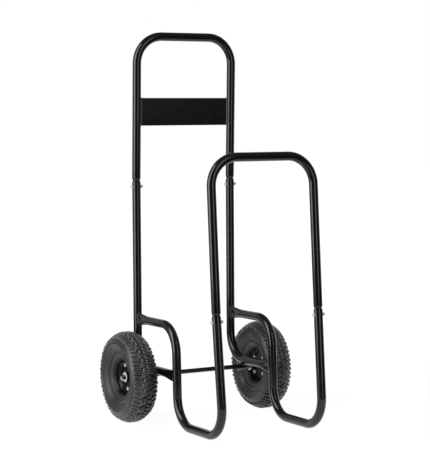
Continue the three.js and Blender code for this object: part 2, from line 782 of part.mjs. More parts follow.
function hub() {
  const radius = hubDiameter / 2;
  const half = hubFlangeThickness / 2;
  const flange = hubFlangeDiameter / 2;
  return cut(turned([
    [-hubInboard, hubBore / 2], [-hubInboard, radius], [-half, radius], [-half, flange],
    [half, flange], [half, radius], [hubOutboard, radius], [hubOutboard, hubBore / 2],
  ], shaftSides), ...boltHoles());
}

function hubBush(from) {
  const bore = cornerRadius(cornerRadius(axleRadius, shaftSides) + runningGap, shaftSides);
  return sleeve(from, from + bushLength, hubBore / 2 - gap, bore, shaftSides);
}

function rimBolt() {
  const seat = discFace + rimSheet + gap / 2;
  const tip = -seat - nutThickness - threadEnd / 2;
  const shank = barAlongX(tip, seat + headThickness / 2, boltRadius, boltSides);
  return join(hexAlongX(seat, seat + headThickness), shank);
}

function rimNut() {
  const seat = discFace + rimSheet + gap / 2;
  const bore = barAlongX(-seat - 2 * nutThickness, 0, boltHoleRadius, boltSides);
  return cut(hexAlongX(-seat - nutThickness, -seat), bore);
}

// The valve leans in from the inboard rim's sloping well, square to the sheet
const wellMiddle = {
  x: -(discFace + (beadSeatDiameter - discDiameter) / 4 + rimSheet / 2),
  z: (beadSeatDiameter + discDiameter) / 4 - rimSheet / 2,
};

function placeOnValve(geometry) {
  return geometry.rotateY(Math.PI * 0.75).translate(wellMiddle.x, 0, wellMiddle.z);
}

function valveBar(from, to, radius) {
  return placeOnValve(barAlongX(from, to, radius, boltSides));
}

function valveStem() {
  const radius = valveDiameter / 2;
  const neck = valveNeckDiameter / 2;
  const profile = [[-valveInside, neck / 4], [-valveInside, radius], [rimSheet, radius],
    [rimSheet + valveCollarLength, neck], [valveLength, neck], [valveLength, neck / 4]];
  return placeOnValve(turned(profile, boltSides));
}

function valveCap() {
  const radius = valveCapDiameter / 2;
  const bore = valveNeckDiameter / 2 + gap;
  const tip = valveLength + valveCapPast;
  const from = tip - valveCapLength;
  const profile = [[from, bore], [from, radius], [valveLength, radius], [tip, radius / 2],
    [tip, 0], [valveLength + gap, 0], [valveLength + gap, bore]];
  return placeOnValve(turned(profile, boltSides));
}

function rimFasteners(name) {
  return ['rim_bolt', 'rim_nut'].flatMap((piece) => aroundBoltCircle(
    piece === 'rim_bolt' ? rimBolt : rimNut,
  ).map((geometry, i) => pieceMesh(`${piece}_${name}_${i + 1}`, geometry, zinc)));
}

function wheel(name, side, turnLugs) {
  const valveHole = valveBar(-3 * rimSheet, 3 * rimSheet, valveDiameter / 2 + gap);
  const pieces = [
    ['tyre', tyre(), rubber],
    ['inner_tube', innerTube(), rubber],
    ['rim_outer', rimHalf(), paint],
    ['rim_inner', cut(rimHalf().rotateZ(Math.PI), valveHole), paint],
    ['hub', hub(), paint],
    ['hub_bush_outer', hubBush(hubOutboard - gap - bushLength), nylon],
    ['hub_bush_inner', hubBush(-hubInboard + gap), nylon],
    ['valve_stem', valveStem(), rubber],
    ['valve_cap', valveCap(), nylon],
  ].map(([piece, geometry, finish]) => pieceMesh(`${piece}_${name}`, geometry, finish));
  const spinning = new THREE.Group().add(...pieces, ...rimFasteners(name));
  spinning.rotation.x = (turnLugs * 2 * Math.PI) / lugCount;
  const placed = new THREE.Group().add(spinning);
  placed.position.set(side * wheelHalfTrack, 0, axleHeight);
  placed.rotation.z = side < 0 ? Math.PI : 0;
  return placed;
}

// ---------------------------------------------------------------- the cart

const cart = new THREE.Group();
cart.add(handleHoop(), handlePlate(), frontHoop(), axle());
for (const [name, side] of Object.entries(sides)) {
  cart.add(backLeg(name, side), sideLoop(name, side), axleGusset(name, side));
  cart.add(...jointFasteners(name, side), ...axleSleeves(name, side), splitPin(name, side));
}
cart.add(wheel('left', sides.left, leftWheelTurn), wheel('right', sides.right, 0));

const footprint = new THREE.Box3().setFromObject(cart, true);
cart.position.y = -(footprint.min.y + footprint.max.y) / 2;

export default new THREE.Group().add(cart);
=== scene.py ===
# %% [markdown]
# # A fireside log cart
# The real cart is a welded and bolted frame of black powder-coated steel tube on two
# small pneumatic wheels.  The CAD model already holds every piece at its true size and
# place, but with flat facets.  This lesson lays smooth, finely made surfaces over that
# frame, gives each one the finish of its real material, and lights the cart like a
# catalogue photograph.  Everything is worked out in millimetres, from the line of the
# axle and the floor, and only turned into metres when a mesh is made.

# %% Load the frame
import json
import math

import bmesh
import bpy
from mathutils import Matrix, Quaternion, Vector


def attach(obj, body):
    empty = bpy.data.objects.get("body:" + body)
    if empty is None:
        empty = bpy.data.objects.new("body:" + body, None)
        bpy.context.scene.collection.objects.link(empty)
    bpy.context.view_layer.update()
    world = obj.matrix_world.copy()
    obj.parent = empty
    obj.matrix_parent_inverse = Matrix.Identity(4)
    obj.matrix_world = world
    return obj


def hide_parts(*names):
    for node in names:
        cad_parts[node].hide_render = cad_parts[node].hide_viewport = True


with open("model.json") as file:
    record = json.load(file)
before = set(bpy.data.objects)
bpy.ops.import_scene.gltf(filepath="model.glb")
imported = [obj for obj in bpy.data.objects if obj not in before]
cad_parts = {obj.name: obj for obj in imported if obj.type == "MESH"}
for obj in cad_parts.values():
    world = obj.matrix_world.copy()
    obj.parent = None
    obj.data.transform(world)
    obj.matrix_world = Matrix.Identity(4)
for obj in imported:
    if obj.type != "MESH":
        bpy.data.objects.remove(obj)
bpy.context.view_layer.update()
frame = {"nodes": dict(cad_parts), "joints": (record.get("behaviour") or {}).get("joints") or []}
MM = 0.001
AXLE_Y = frame["joints"][0]["pos_m"][1]
AXLE_HEIGHT = frame["joints"][0]["pos_m"][2] / MM
HALF_TRACK = abs(frame["joints"][0]["pos_m"][0]) / MM
SIDES = {"left": -1, "right": 1}

# %% [markdown]
# ## Colours and nodes
# A colour seen on the object is easiest to note as an sRGB hex value, but shaders work
# on linear light, so one function converts them all.  A second small function adds a
# shader node with its settings and links, which keeps each material to a short recipe.


# %% Colour and node helpers
def linear(hex_colour):
    """sRGB hex to linear RGBA."""
    channels = [int(hex_colour[i:i + 2], 16) / 255 for i in (1, 3, 5)]
    low = [c / 12.92 if c <= 0.04045 else ((c + 0.055) / 1.055) ** 2.4 for c in channels]
    return (*low, 1.0)


def add_node(tree, kind, inputs=None, **settings):
    """Adds a node; an input given as a socket is linked, any other value is set."""
    node = tree.nodes.new(kind)
    for name, value in settings.items():
        setattr(node, name, value)
    for key, value in (inputs or {}).items():
        if isinstance(value, bpy.types.NodeSocket):
            tree.links.new(value, node.inputs[key])
        else:
            node.inputs[key].default_value = value
    return node


def per_metre(size_mm):
    """Texture scale that gives features of about this size."""
    return 1 / (size_mm * MM)


print("mid grey #808080 is", round(linear("#808080")[0], 3), "in linear light")


# %% [markdown]
# ## One recipe for a worn surface
# Powder coat, enamel, zinc and rubber differ in their numbers more than in their
# structure.  Each has two close tones that drift over the surface, a roughness that
# varies a little, a fine relief, and edges in another tone: rubbed wear on most finishes,
# and on the tyres and welds a pale tone that is painted highlight.  Edges are found from
# the curvature of the mesh, which moves with the piece and needs no painting.


# %% Surface recipe
WEAR_AND_GLINT_STARTS, WEAR_AND_GLINT_FULL = 0.53, 0.62     # Pointiness; a flat face has 0.5
NOISE_LOW, NOISE_HIGH = 0.3, 0.7        # where most of a noise texture's values lie


def surface(name, tones, edge_tone, roughness, relief_mm, relief_depth_mm,
            drift_mm=45, rough_mm=12, rough_spread=0.06, edge_share=0.5, metallic=0.0,
            specular=0.5):
    """A finish for the pieces that wear it."""
    material = bpy.data.materials.new(name)
    material.use_nodes = True
    tree = material.node_tree
    shader = tree.nodes["Principled BSDF"]
    place = add_node(tree, "ShaderNodeTexCoord").outputs["Object"]
    drift, patches, grain = (
        add_node(tree, "ShaderNodeTexNoise", {"Vector": place, "Scale": per_metre(size),
                                              "Detail": detail}).outputs["Fac"]
        for size, detail in ((drift_mm, 4.0), (rough_mm, 3.0), (relief_mm, 2.0)))
    tone = add_node(tree, "ShaderNodeMix", {0: drift, 6: linear(tones[0]),
                                            7: linear(tones[1])}, data_type="RGBA")
    bend = add_node(tree, "ShaderNodeNewGeometry").outputs["Pointiness"]
    edge = add_node(tree, "ShaderNodeMapRange",
                    {"Value": bend, "From Min": WEAR_AND_GLINT_STARTS, "From Max": WEAR_AND_GLINT_FULL,
                     "To Max": edge_share})
    # Edges take edge_tone: rubbed wear on most finishes, painted highlight on the tyres and
    # welds.
    worn_and_glinting = add_node(tree, "ShaderNodeMix", {0: edge.outputs["Result"],
                                            6: tone.outputs[2], 7: linear(edge_tone)},
                    data_type="RGBA")
    gloss = add_node(tree, "ShaderNodeMapRange",
                     {"Value": patches, "From Min": NOISE_LOW, "From Max": NOISE_HIGH,
                      "To Min": roughness - rough_spread,
                      "To Max": roughness + rough_spread})
    bump = add_node(tree, "ShaderNodeBump", {"Height": grain, "Strength": 1.0,
                                             "Distance": relief_depth_mm * MM})
    tree.links.new(worn_and_glinting.outputs[2], shader.inputs["Base Color"])
    tree.links.new(gloss.outputs["Result"], shader.inputs["Roughness"])
    tree.links.new(bump.outputs["Normal"], shader.inputs["Normal"])
    shader.inputs["Metallic"].default_value = metallic
    shader.inputs["Specular IOR Level"].default_value = specular
    return material


print("a 3 mm relief has a texture scale of", round(per_metre(3.0)))


# %% [markdown]
# ## The finishes
# The frame is powder coated: polyester powder sprayed on steel and baked, which leaves
# a dielectric film, IOR about 1.5, with the faint orange peel of melted powder.  The
# plate has a matting agent in its powder, the rims a thin sprayed enamel and the axle
# the dull black of oiled steel.  Each could be a painted image, but numbers in one
# recipe keep their scale in millimetres on every piece.

# %% Coated and blackened steel
# Gloss powder coat gives crisp, slightly wavy lines of light over a deep black.
GLOSS_COAT = surface("gloss_powder_coat", ("#060607", "#0a0a0b"),
                     "#1e1e20", 0.17, relief_mm=3.0, relief_depth_mm=0.006,
                     rough_spread=0.03, edge_share=0.2)
# Welds are coloured a paler grey than the coat, a painted highlight for the line of light a bead
# catches.
WELD_HIGHLIGHT_COAT = surface("weld_painted_highlight", ("#262628", "#323234"),
                    "#8a8a8e", 0.3, relief_mm=1.2, relief_depth_mm=0.02, edge_share=0.8)
# Satin powder coat gives the plate an even charcoal with no sharp reflection.
SATIN_COAT = surface("satin_powder_coat", ("#0b0b0c", "#101011"),
                     "#303032", 0.36, relief_mm=1.6, relief_depth_mm=0.01,
                     specular=0.25, edge_share=0.3)
# Blackened steel gives a soft dark sheen, a little greyer than the coat.
BLACK_ROD = surface("blackened_steel_rod", ("#0b0b0c", "#131314"),
                    "#3a3a3b", 0.36, relief_mm=1.2, relief_depth_mm=0.01, specular=0.3)
# Enamel in the deep dish gives the eye almost nothing but its rolled lip.  Its specular
# level is low, because the tyre's wall keeps the white room out of the dish.
RIM_ENAMEL = surface("rim_enamel", ("#050506", "#08080a"), "#2a2a2c", 0.3,
                     relief_mm=2.2, relief_depth_mm=0.015, specular=0.17)
print("made", len(bpy.data.materials), "finishes for steel")

# %% [markdown]
# Fasteners and washers are zinc plated and passivated: a metal skin under a thin frosted
# salt layer, so the recipe is part metal and part white coat.  Tyres are moulded rubber
# filled with carbon black; their lug edges are coloured paler, partly rubbed wear and
# partly a painted highlight for the glints along them, and the mould leaves a sheen on
# the wall.  The rubber's grain is really finer than 1.4 mm, and is drawn that coarse so
# that it shows.

# %% Zinc, rubber and nylon
# Zinc plate gives small blurred sparks of white.
ZINC = surface("zinc_plated_steel", ("#d2d4d6", "#e4e5e6"), "#f2f2f2",
               0.36, relief_mm=0.7, relief_depth_mm=0.012, drift_mm=6, metallic=0.6)
# Tyre rubber gives a warm charcoal; its pale edges are partly rubbed wear and partly painted
# highlight.
TYRE_RUBBER = surface("tyre_rubber", ("#19191d", "#27272c"), "#b2b2b8",
                      0.36, relief_mm=1.4, relief_depth_mm=0.07, drift_mm=22,
                      edge_share=0.8, rough_spread=0.1)
# Butyl rubber, of the inner tube and the valves, is smoother and duller.
TUBE_RUBBER = surface("butyl_rubber", ("#202022", "#28282a"), "#38383a",
                      0.6, relief_mm=1.5, relief_depth_mm=0.03, specular=0.3)
# Black nylon, of the bushes and valve caps, has the low sheen of moulded plastic.
NYLON = surface("black_nylon", ("#141415", "#1b1b1c"), "#2a2a2b", 0.5,
                relief_mm=1.0, relief_depth_mm=0.02, specular=0.3)
print("made", len(bpy.data.materials), "finishes in all")

# %% [markdown]
# ## Putting a piece in the frame
# Every piece is drawn in millimetres from the axle line and the floor.  One function
# moves it into the frame, makes its faces point outwards, smooths all but its sharp
# edges, hangs it on the body that carries it and hides the plain CAD nodes it stands for.


# %% Place a piece
SHARP_ANGLE = math.radians(34)


def to_frame(point):
    """Millimetres from the axle line and the floor, to metres in the CAD frame."""
    return Vector((point[0] * MM, point[1] * MM + AXLE_Y, point[2] * MM))


def add_object(name, data):
    """A new object, linked in the scene."""
    thing = bpy.data.objects.new(name, data)
    bpy.context.scene.collection.objects.link(thing)
    return thing


def add_piece(name, vertices, faces, material, body, replaced=()):
    """A mesh in millimetres, riding on a body in place of the CAD nodes it replaces."""
    mesh = bpy.data.meshes.new(name)
    mesh.from_pydata([to_frame(v) for v in vertices], [], faces)
    solid = bmesh.new()
    solid.from_mesh(mesh)
    bmesh.ops.recalc_face_normals(solid, faces=solid.faces)
    solid.to_mesh(mesh)
    solid.free()
    mesh.shade_smooth()
    mesh.set_sharp_from_angle(angle=SHARP_ANGLE)
    mesh.materials.append(material)
    piece = add_object(name, mesh)
    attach(piece, body)
    if replaced:
        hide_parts(*replaced)


print("the axle's middle is at", [round(v, 3) for v in to_frame((0, 0, AXLE_HEIGHT))], "m")

# %% [markdown]
# ## Meshes from rings
# Almost everything on this cart is a tube, a bar or a turned part, so one idea makes
# nearly all of it: a stack of rings with equal numbers of points, joined by quads.  A
# tube is rings along its bent centre line, a turned part is a profile swung round the
# axle.  A modifier could sweep a curve too, but explicit rings let the section change
# on the way, as it does where the real tubes are swaged or pressed flat.


# %% Skins over rings
def skin(rings, closed=False):
    """Vertices and faces of a skin over rings of points; open ends are capped."""
    count = len(rings[0])
    vertices = [point for ring in rings for point in ring]
    last = len(rings) if closed else len(rings) - 1
    faces = []
    for i in range(last):
        here, there = i * count, (i + 1) % len(rings) * count
        faces += [(here + k, here + (k + 1) % count, there + (k + 1) % count, there + k)
                  for k in range(count)]
    if not closed:
        faces.append(tuple(reversed(range(count))))
        faces.append(tuple(range((len(rings) - 1) * count, len(rings) * count)))
    return vertices, faces


def join(parts):
    """Several (vertices, faces) as one."""
    vertices, faces = [], []
    for more_vertices, more_faces in parts:
        start = len(vertices)
        vertices += more_vertices
        faces += [tuple(start + i for i in face) for face in more_faces]
    return vertices, faces


def moved(part, change):
    """The same part with every point changed."""
    vertices, faces = part
    return [change(Vector(v)) for v in vertices], faces


def curve_through(points, lead, parts_in):
    """Points of a smooth curve (Catmull-Rom) that comes from the direction of lead;
    parts_in says how many parts a span is cut into."""
    path = [lead, *points, points[-1]]
    fine = []
    for p0, p1, p2, p3 in zip(path, path[1:], path[2:], path[3:]):
        parts = parts_in(p2 - p1)
        for t in (k / parts for k in range(parts)):
            fine.append(0.5 * (2 * p1 + (p2 - p0) * t
                               + (2 * p0 - 5 * p1 + 4 * p2 - p3) * t * t
                               + (3 * p1 - p0 - 3 * p2 + p3) * t ** 3))
    return fine + [points[-1]]


print("a skin over 3 rings of 8 has", len(skin([[(0, 0, 0)] * 8] * 3)[1]), "faces")


# %% [markdown]
# ## Turned parts
# Washers, bushes, rims and hubs are turned or pressed to a profile.  The profile is a
# closed outline of (x, radius) corners, each one rounded a little, because no real edge
# is perfectly sharp and it is the small rounding that catches the light.


# %% Profiles and turning
CORE = 0.01             # radius at the axis of a solid part, where rings can't be points
SIDE_SHARE = 0.45       # the most of a side that one corner's rounding takes


def rounded(corners, radius, steps=3):
    """Closed outline with each corner replaced by an arc."""
    outline = []
    for i, corner in enumerate(corners):
        here, before, after = (Vector(corners[j % len(corners)])
                               for j in (i, i - 1, i + 1))
        back, ahead = before - here, after - here
        turn = math.pi - back.angle(ahead)
        reach = min(radius * math.tan(turn / 2), back.length * SIDE_SHARE,
                    ahead.length * SIDE_SHARE)
        start = here + back.normalized() * reach
        end = here + ahead.normalized() * reach
        for k in range(steps + 1):
            t = k / steps
            outline.append(start * (1 - t) ** 2 + here * 2 * t * (1 - t) + end * t ** 2)
    return outline


def turned(profile, segments=64):
    """A closed (x, radius) profile swung about the X axis."""
    spins = [2 * math.pi * k / segments for k in range(segments)]
    return skin([[Vector((x, r * math.cos(a), r * math.sin(a))) for a in spins]
                 for x, r in profile], closed=True)


def sleeve(x0, x1, outer, bore, radius=0.4, segments=64):
    """A plain ring from x0 to x1, its corners rounded."""
    return turned(rounded([(x0, bore), (x0, outer), (x1, outer), (x1, bore)], radius),
                  segments)


print("a sleeve has", len(sleeve(0.0, 20.0, 12.0, 10.0)[0]), "points")

# %% [markdown]
# ## The bent tubes
# A tube bender leaves straight runs joined by arcs of one radius, the radius of its
# die.  The centre line is therefore given by the corners where the straight runs would
# meet, and the arcs follow from the one radius.  Along that line the section is round,
# except where a tube's end is pressed tall and narrow to be welded to the next tube.

# %% Frame sizes, in millimetres
REAR_SPACING = 155.0
FRONT_SPACING = 159.0
REAR_RADIUS = 12.5
LOOP_RADIUS = 12.5
WALL = 1.5
BEND = 78.0
RUN_HEIGHT = 149.6
REAR_JOINT = (58.5, 687.0)
KNEE = (68.0, RUN_HEIGHT)
HANDLE_TOP = (37.4, 1104.5)
LOOP_TOP = (-177.4, 287.0)
FOOT_REAR = (-181.4, LOOP_RADIUS)
FOOT_FRONT = (-443.8, LOOP_RADIUS)
FRONT_JOINT = (-420.5, 337.0)
FRONT_TOP = (-399.4, 757.0)
NECK = 4.0
SHOULDER = 5.0
PRESSED_LENGTH = 60.0
PINCH = 0.66
STRETCH = 0.34
LEG_DROP = 3.0
print("the handle's top stands at", HANDLE_TOP[1] + REAR_RADIUS, "mm")

# %% [markdown]
# A centre line is a list of stations, each a point, the direction of the tube there and
# its distance from both ends.  The direction turns the section, and the distances say
# where the tube is swaged or pressed.


# %% Centre lines
def at(spacing, place):
    return Vector((spacing, *place))


def arc_stations(before, corner, after, radius, steps=22):
    """Points and directions along the bend at a corner."""
    into, out = (corner - before).normalized(), (after - corner).normalized()
    turn = into.angle(out)
    if turn < 0.15:
        return [(corner, (into + out).normalized())]
    axis = into.cross(out).normalized()
    start = corner - into * radius * math.tan(turn / 2)
    centre = start + axis.cross(into) * radius
    stations = []
    for i in range(steps + 1):
        swing = Quaternion(axis, turn * i / steps)
        stations.append((centre + swing @ (start - centre), swing @ into))
    return stations


def centre_line(corners, start_breaks=(), end_breaks=()):
    """Stations (point, direction, length from the start, length to the end)."""
    first = (corners[1] - corners[0]).normalized()
    last = (corners[-1] - corners[-2]).normalized()
    stations = [(corners[0] + first * d, first) for d in (0, *start_breaks)]
    for i in range(1, len(corners) - 1):
        stations += arc_stations(*corners[i - 1:i + 2], BEND)
    stations += [(corners[-1] - last * d, last) for d in (*reversed(end_breaks), 0)]
    lengths = [0.0]
    for (a, _), (b, _) in zip(stations, stations[1:]):
        lengths.append(lengths[-1] + (b - a).length)
    return [(p, d, s, lengths[-1] - s) for (p, d), s in zip(stations, lengths)]


def section_ring(point, along, normal, radius, pinch=0.0, stretch=0.0, drop=0.0, sides=48):
    """Ring across the tube; pinch squeezes its waist and stretch makes it taller."""
    out = (normal - along * normal.dot(along)).normalized()
    up = along.cross(out)
    ring = []
    for k in range(sides):
        a = 2 * math.pi * k / sides
        across = radius * math.cos(a) * (1 - pinch * math.cos(a) ** 2)
        height = radius * math.sin(a) * (1 + stretch) - drop
        ring.append(point + out * across + up * height)
    return ring


def smooth(t):
    t = min(max(t, 0.0), 1.0)
    return t * t * (3 - 2 * t)


print("a right-angled bend is", round(BEND * math.pi / 2), "mm long")

# %% [markdown]
# ## Hoops with swaged ends
# Each hoop's two legs are swaged, that is squeezed to a smaller diameter, so that they
# plug into the tubes below.  A few millimetres of the narrow neck stay in view, which
# draws the dark line at each joint.  The neck is one radius, the tube another, and a
# smooth step joins them.


# %% Hoops
PLUG_GAP = 0.4          # round the neck, inside the lower tube
PLUG_LENGTH = 12.0      # of the hidden neck, as far as it is drawn
STEP_RINGS = 6


def hoop(name, spacing, low, seam, top, radius, replaced):
    """A bent tube, both ends swaged.  seam is the mouth of the lower tube and low is the
    next corner of that tube's centre line."""
    neck_radius = radius - WALL - PLUG_GAP
    legs = []
    for side in SIDES.values():
        x = side * spacing
        down = (at(x, low) - at(x, seam)).normalized()
        legs.append([at(x, seam) + down * PLUG_LENGTH,
                     at(x, seam) - down * (NECK + SHOULDER), at(x, top)])
    corners = legs[0] + legs[1][::-1]
    breaks = [PLUG_LENGTH + NECK + SHOULDER * k / STEP_RINGS for k in range(STEP_RINGS)]
    line = centre_line(corners, breaks, breaks)
    normal = (corners[2] - corners[1]).cross(Vector((1, 0, 0))).normalized()
    rings = []
    for point, along, start, end in line:
        step = smooth((min(start, end) - PLUG_LENGTH - NECK) / SHOULDER)
        size = neck_radius + (radius - neck_radius) * step
        rings.append(section_ring(point, along, normal, size))
    add_piece(name, *skin(rings), GLOSS_COAT, "frame", replaced)


hoop("handle_hoop_tube", REAR_SPACING, KNEE, REAR_JOINT, HANDLE_TOP, REAR_RADIUS,
     ["handle_hoop"])
hoop("front_hoop_tube", FRONT_SPACING, FOOT_FRONT, FRONT_JOINT, FRONT_TOP, LOOP_RADIUS,
     ["front_hoop"])
print("made two hoops, their necks", 2 * (REAR_RADIUS - WALL - PLUG_GAP), "mm thick")

# %% [markdown]
# ## Tubes with a pressed end
# The back leg's front end and the side loop's rear end are pressed in a vice until they
# are tall and narrow, which gives the weld a long seam up the side of the other tube.
# The skin keeps its girth, so the tube grows in height as it loses width.  The last
# ring of points is drawn onto the surface of the tube it meets.


# %% Legs and loops
MOUTH_ROUND = 0.35      # rounding of a sawn tube's outer edge
MOUTH_DEPTH = 8.0       # of the bore that is drawn
PRESS_RINGS = 20
SADDLE_SINK = 0.15      # how far a pressed end is drawn into the tube it meets


def open_mouth(point, along, normal, radius):
    """Rings that turn a tube's end inwards over its wall and down its bore."""
    bore = radius - WALL
    steps = ((0.0, radius - MOUTH_ROUND), (0.0, bore + 0.3), (-0.4, bore),
             (-MOUTH_DEPTH, bore))
    return [section_ring(point + along * d, along, normal, r) for d, r in steps]


def pressed_tube(name, corners, radius, seat, drop, replaced):
    """Tube whose first end is pressed tall and saddled on an upright tube, and whose
    other end is an open mouth.  seat is (centre y at the joint, radius) of the
    upright.  Returns the line of the saddle."""
    normal = Vector((1, 0, 0))
    seat_y, seat_radius = seat
    breaks = [seat_radius - 3 + PRESSED_LENGTH * k / PRESS_RINGS
              for k in range(PRESS_RINGS + 5)]
    line = centre_line(corners, breaks, [0.5, 1.0])
    sign = math.copysign(1, corners[1].y - corners[0].y)
    rings = []
    for point, along, start, _ in line[1:-1]:
        press = 1 - smooth((start - seat_radius) / PRESSED_LENGTH)
        rings.append(section_ring(point, along, normal, radius, PINCH * press,
                                  STRETCH * press, -sign * drop * press))
    saddle = []
    for v in rings[0]:
        aside = abs(v.x - corners[0].x)
        reach = math.sqrt(max(seat_radius ** 2 - aside ** 2, 0)) - SADDLE_SINK
        saddle.append(Vector((v.x, seat_y + sign * reach, v.z)))
    rings[0] = saddle
    point, along, _, _ = line[-1]
    rings.append(section_ring(point - along * MOUTH_ROUND, along, normal, radius))
    rings += open_mouth(point, along, normal, radius)
    add_piece(name, *skin(rings), GLOSS_COAT, "frame", [replaced])
    return saddle


def height_on(low, high, z):
    """y of the straight line through two (y, z) places, at a height."""
    return low[0] + (high[0] - low[0]) * (z - low[1]) / (high[1] - low[1])


weld_lines = {}
for name, side in SIDES.items():
    x = side * REAR_SPACING
    upright = height_on(FOOT_REAR, LOOP_TOP, RUN_HEIGHT)
    leg = [at(x, (upright, RUN_HEIGHT)), at(x, KNEE), at(x, REAR_JOINT)]
    weld_lines["leg_" + name] = pressed_tube(
        "back_leg_tube_" + name, leg, REAR_RADIUS, (upright, LOOP_RADIUS), LEG_DROP,
        "back_leg_" + name)
    back = height_on(KNEE, REAR_JOINT, LOOP_TOP[1])
    loop = [at(x, (back, LOOP_TOP[1])), at(x, LOOP_TOP), at(x, FOOT_REAR),
            at(x, FOOT_FRONT), at(side * FRONT_SPACING, FRONT_JOINT)]
    weld_lines["loop_" + name] = pressed_tube(
        "side_loop_tube_" + name, loop, LOOP_RADIUS, (back, REAR_RADIUS), 0.0,
        "side_loop_" + name)
print("made legs and loops, joined along", len(weld_lines), "weld lines")

# %% [markdown]
# ## Weld beads
# A MIG weld is a string of overlapping pools.  From a step away that reads as a bead of
# even width with a fine ripple along it.  The bead is a thin round section swept along
# the seam, its radius swelling and shrinking once for each pool.


# %% Beads
POOL = 2.4              # length of one pool along the seam
POOL_SWELL = 0.1        # share by which a pool swells the bead
POOL_STEP = 0.6
SEAM_BEAD = 1.7
PLATE_BEAD = 2.8
GUSSET_BEAD = 1.5


def bead(points, axis, radius, closed=True):
    """Rippled bead along points; axis is roughly square to the seam everywhere."""
    line = [Vector(p) for p in points]
    if closed:
        line.append(line[0])
    fine = []
    for a, b in zip(line, line[1:]):
        parts = max(1, round((b - a).length / POOL_STEP))
        fine += [a.lerp(b, k / parts) for k in range(parts)]
    if not closed:
        fine.append(line[-1])
    rings, travelled = [], 0.0
    for i, point in enumerate(fine):
        before = fine[i - 1] if closed or i else point
        after = fine[(i + 1) % len(fine)] if closed or i + 1 < len(fine) else point
        along = (after - before).normalized()
        travelled += (point - before).length
        size = radius * (1 + POOL_SWELL * math.sin(2 * math.pi * travelled / POOL))
        if not closed:
            to_end = min(i, len(fine) - 1 - i) / 4
            size *= math.sqrt(min(1.0, 0.15 + to_end))
        side = along.cross(axis).normalized()
        up = side.cross(along)
        rings.append([point + (side * math.cos(a) + up * math.sin(a)) * size
                      for a in (2 * math.pi * k / 10 for k in range(10))])
    return skin(rings, closed=closed)


# Each bead wears the pale weld coat, whose tone is a painted highlight.
for key, seam in weld_lines.items():
    add_piece("weld_" + key, *bead(seam, Vector((0, 1, 0)), SEAM_BEAD), WELD_HIGHLIGHT_COAT,
              "frame")
print("made", len(weld_lines), "weld beads")

# %% [markdown]
# ## The handle's plate
# A strip of 2 mm sheet closes the handle between its legs.  It is a flat plate with
# rounded edges, set on the centre plane of the tubes and welded all round each end, so
# a bead runs up both ends of it, coloured pale as a painted highlight.

# %% Plate
PLATE_BOTTOM = 848.0
PLATE_HEIGHT = 80.0
PLATE_THICKNESS = 2.0
PLATE_EDGE = 0.7
SEAM_OFFSET = 0.6       # of a bead's middle from the plate's faces and edges
plate_low = Vector((0, height_on(REAR_JOINT, HANDLE_TOP, PLATE_BOTTOM), PLATE_BOTTOM))
plate_up = (at(0, HANDLE_TOP) - at(0, REAR_JOINT)).normalized()
plate_out = Vector((1, 0, 0)).cross(plate_up)
half_long = REAR_SPACING - REAR_RADIUS + 0.2


def on_plate(x, out, up):
    return plate_low + Vector((x, 0, 0)) + plate_out * out + plate_up * up


half = PLATE_THICKNESS / 2
edge = rounded([(-half, 0), (half, 0), (half, PLATE_HEIGHT), (-half, PLATE_HEIGHT)],
               PLATE_EDGE)
stations = [-half_long + 2 * half_long * k / 40 for k in range(41)]
plate_rings = [[on_plate(x, u, v) for u, v in edge] for x in stations]
add_piece("handle_plate_sheet", *skin(plate_rings), SATIN_COAT, "frame",
          ["handle_plate"])
for name, side in SIDES.items():
    x = side * (half_long - 0.7)
    low, high = SEAM_OFFSET, PLATE_HEIGHT - SEAM_OFFSET
    out = half + SEAM_OFFSET
    seam = [on_plate(x, u, v) for u, v in
            rounded([(-out, low), (out, low), (out, high), (-out, high)], 1.4, 4)]
    add_piece("weld_plate_" + name, *bead(seam, Vector((1, 0, 0)), PLATE_BEAD), WELD_HIGHLIGHT_COAT,
              "frame")
print("made the plate,", round(2 * half_long), "mm long, and its welds")

# %% [markdown]
# ## Gussets, axle and its small parts
# The axle is a plain steel rod.  It hangs in two gussets, plates cut to follow the
# underside of the back legs' bend.  Outside each wheel a washer and a split pin hold
# it, inside a washer and a collar.  The gusset is an outline with a rounded edge, given
# a thickness; the rest is turned.

# %% Gussets
GUSSET_THICKNESS = 5.0
GUSSET_FRONT = -64.0
GUSSET_REAR = 26.0
GUSSET_LOW = 113.0
GUSSET_TIP = 3.0        # height of the front tip, and cut of the rear corner
ARC_STEPS = 8
TOUCH = 0.1             # how far a piece is drawn into the one it is welded to


def gusset_outline():
    """Outline (y, z): front tip, low rear corner, then forwards along the tube's bend."""
    turn = math.radians(90) + math.atan2(KNEE[0] - REAR_JOINT[0],
                                         REAR_JOINT[1] - KNEE[1])
    bend_start = KNEE[0] - BEND * math.tan(turn / 2)
    follow = BEND + REAR_RADIUS
    underside = RUN_HEIGHT - REAR_RADIUS
    top = underside + TOUCH
    swing = math.asin((GUSSET_REAR - bend_start) / follow)
    outline = [(GUSSET_FRONT, top), (GUSSET_FRONT, underside - GUSSET_TIP),
               (GUSSET_REAR - GUSSET_TIP, GUSSET_LOW),
               (GUSSET_REAR, GUSSET_LOW + GUSSET_TIP)]
    for k in range(ARC_STEPS + 1):
        a = swing * (1 - k / ARC_STEPS)
        outline.append((bend_start + follow * math.sin(a),
                        top + follow * (1 - math.cos(a))))
    return outline


def plate_ring(outline, x, inset):
    """Outline at x, drawn in towards its middle by inset."""
    middle = sum((Vector(p) for p in outline), Vector((0, 0))) / len(outline)
    ring = []
    for p in outline:
        arm = Vector(p) - middle
        spot = middle + arm * (1 - inset / arm.length)
        ring.append(Vector((x, spot.x, spot.y)))
    return ring


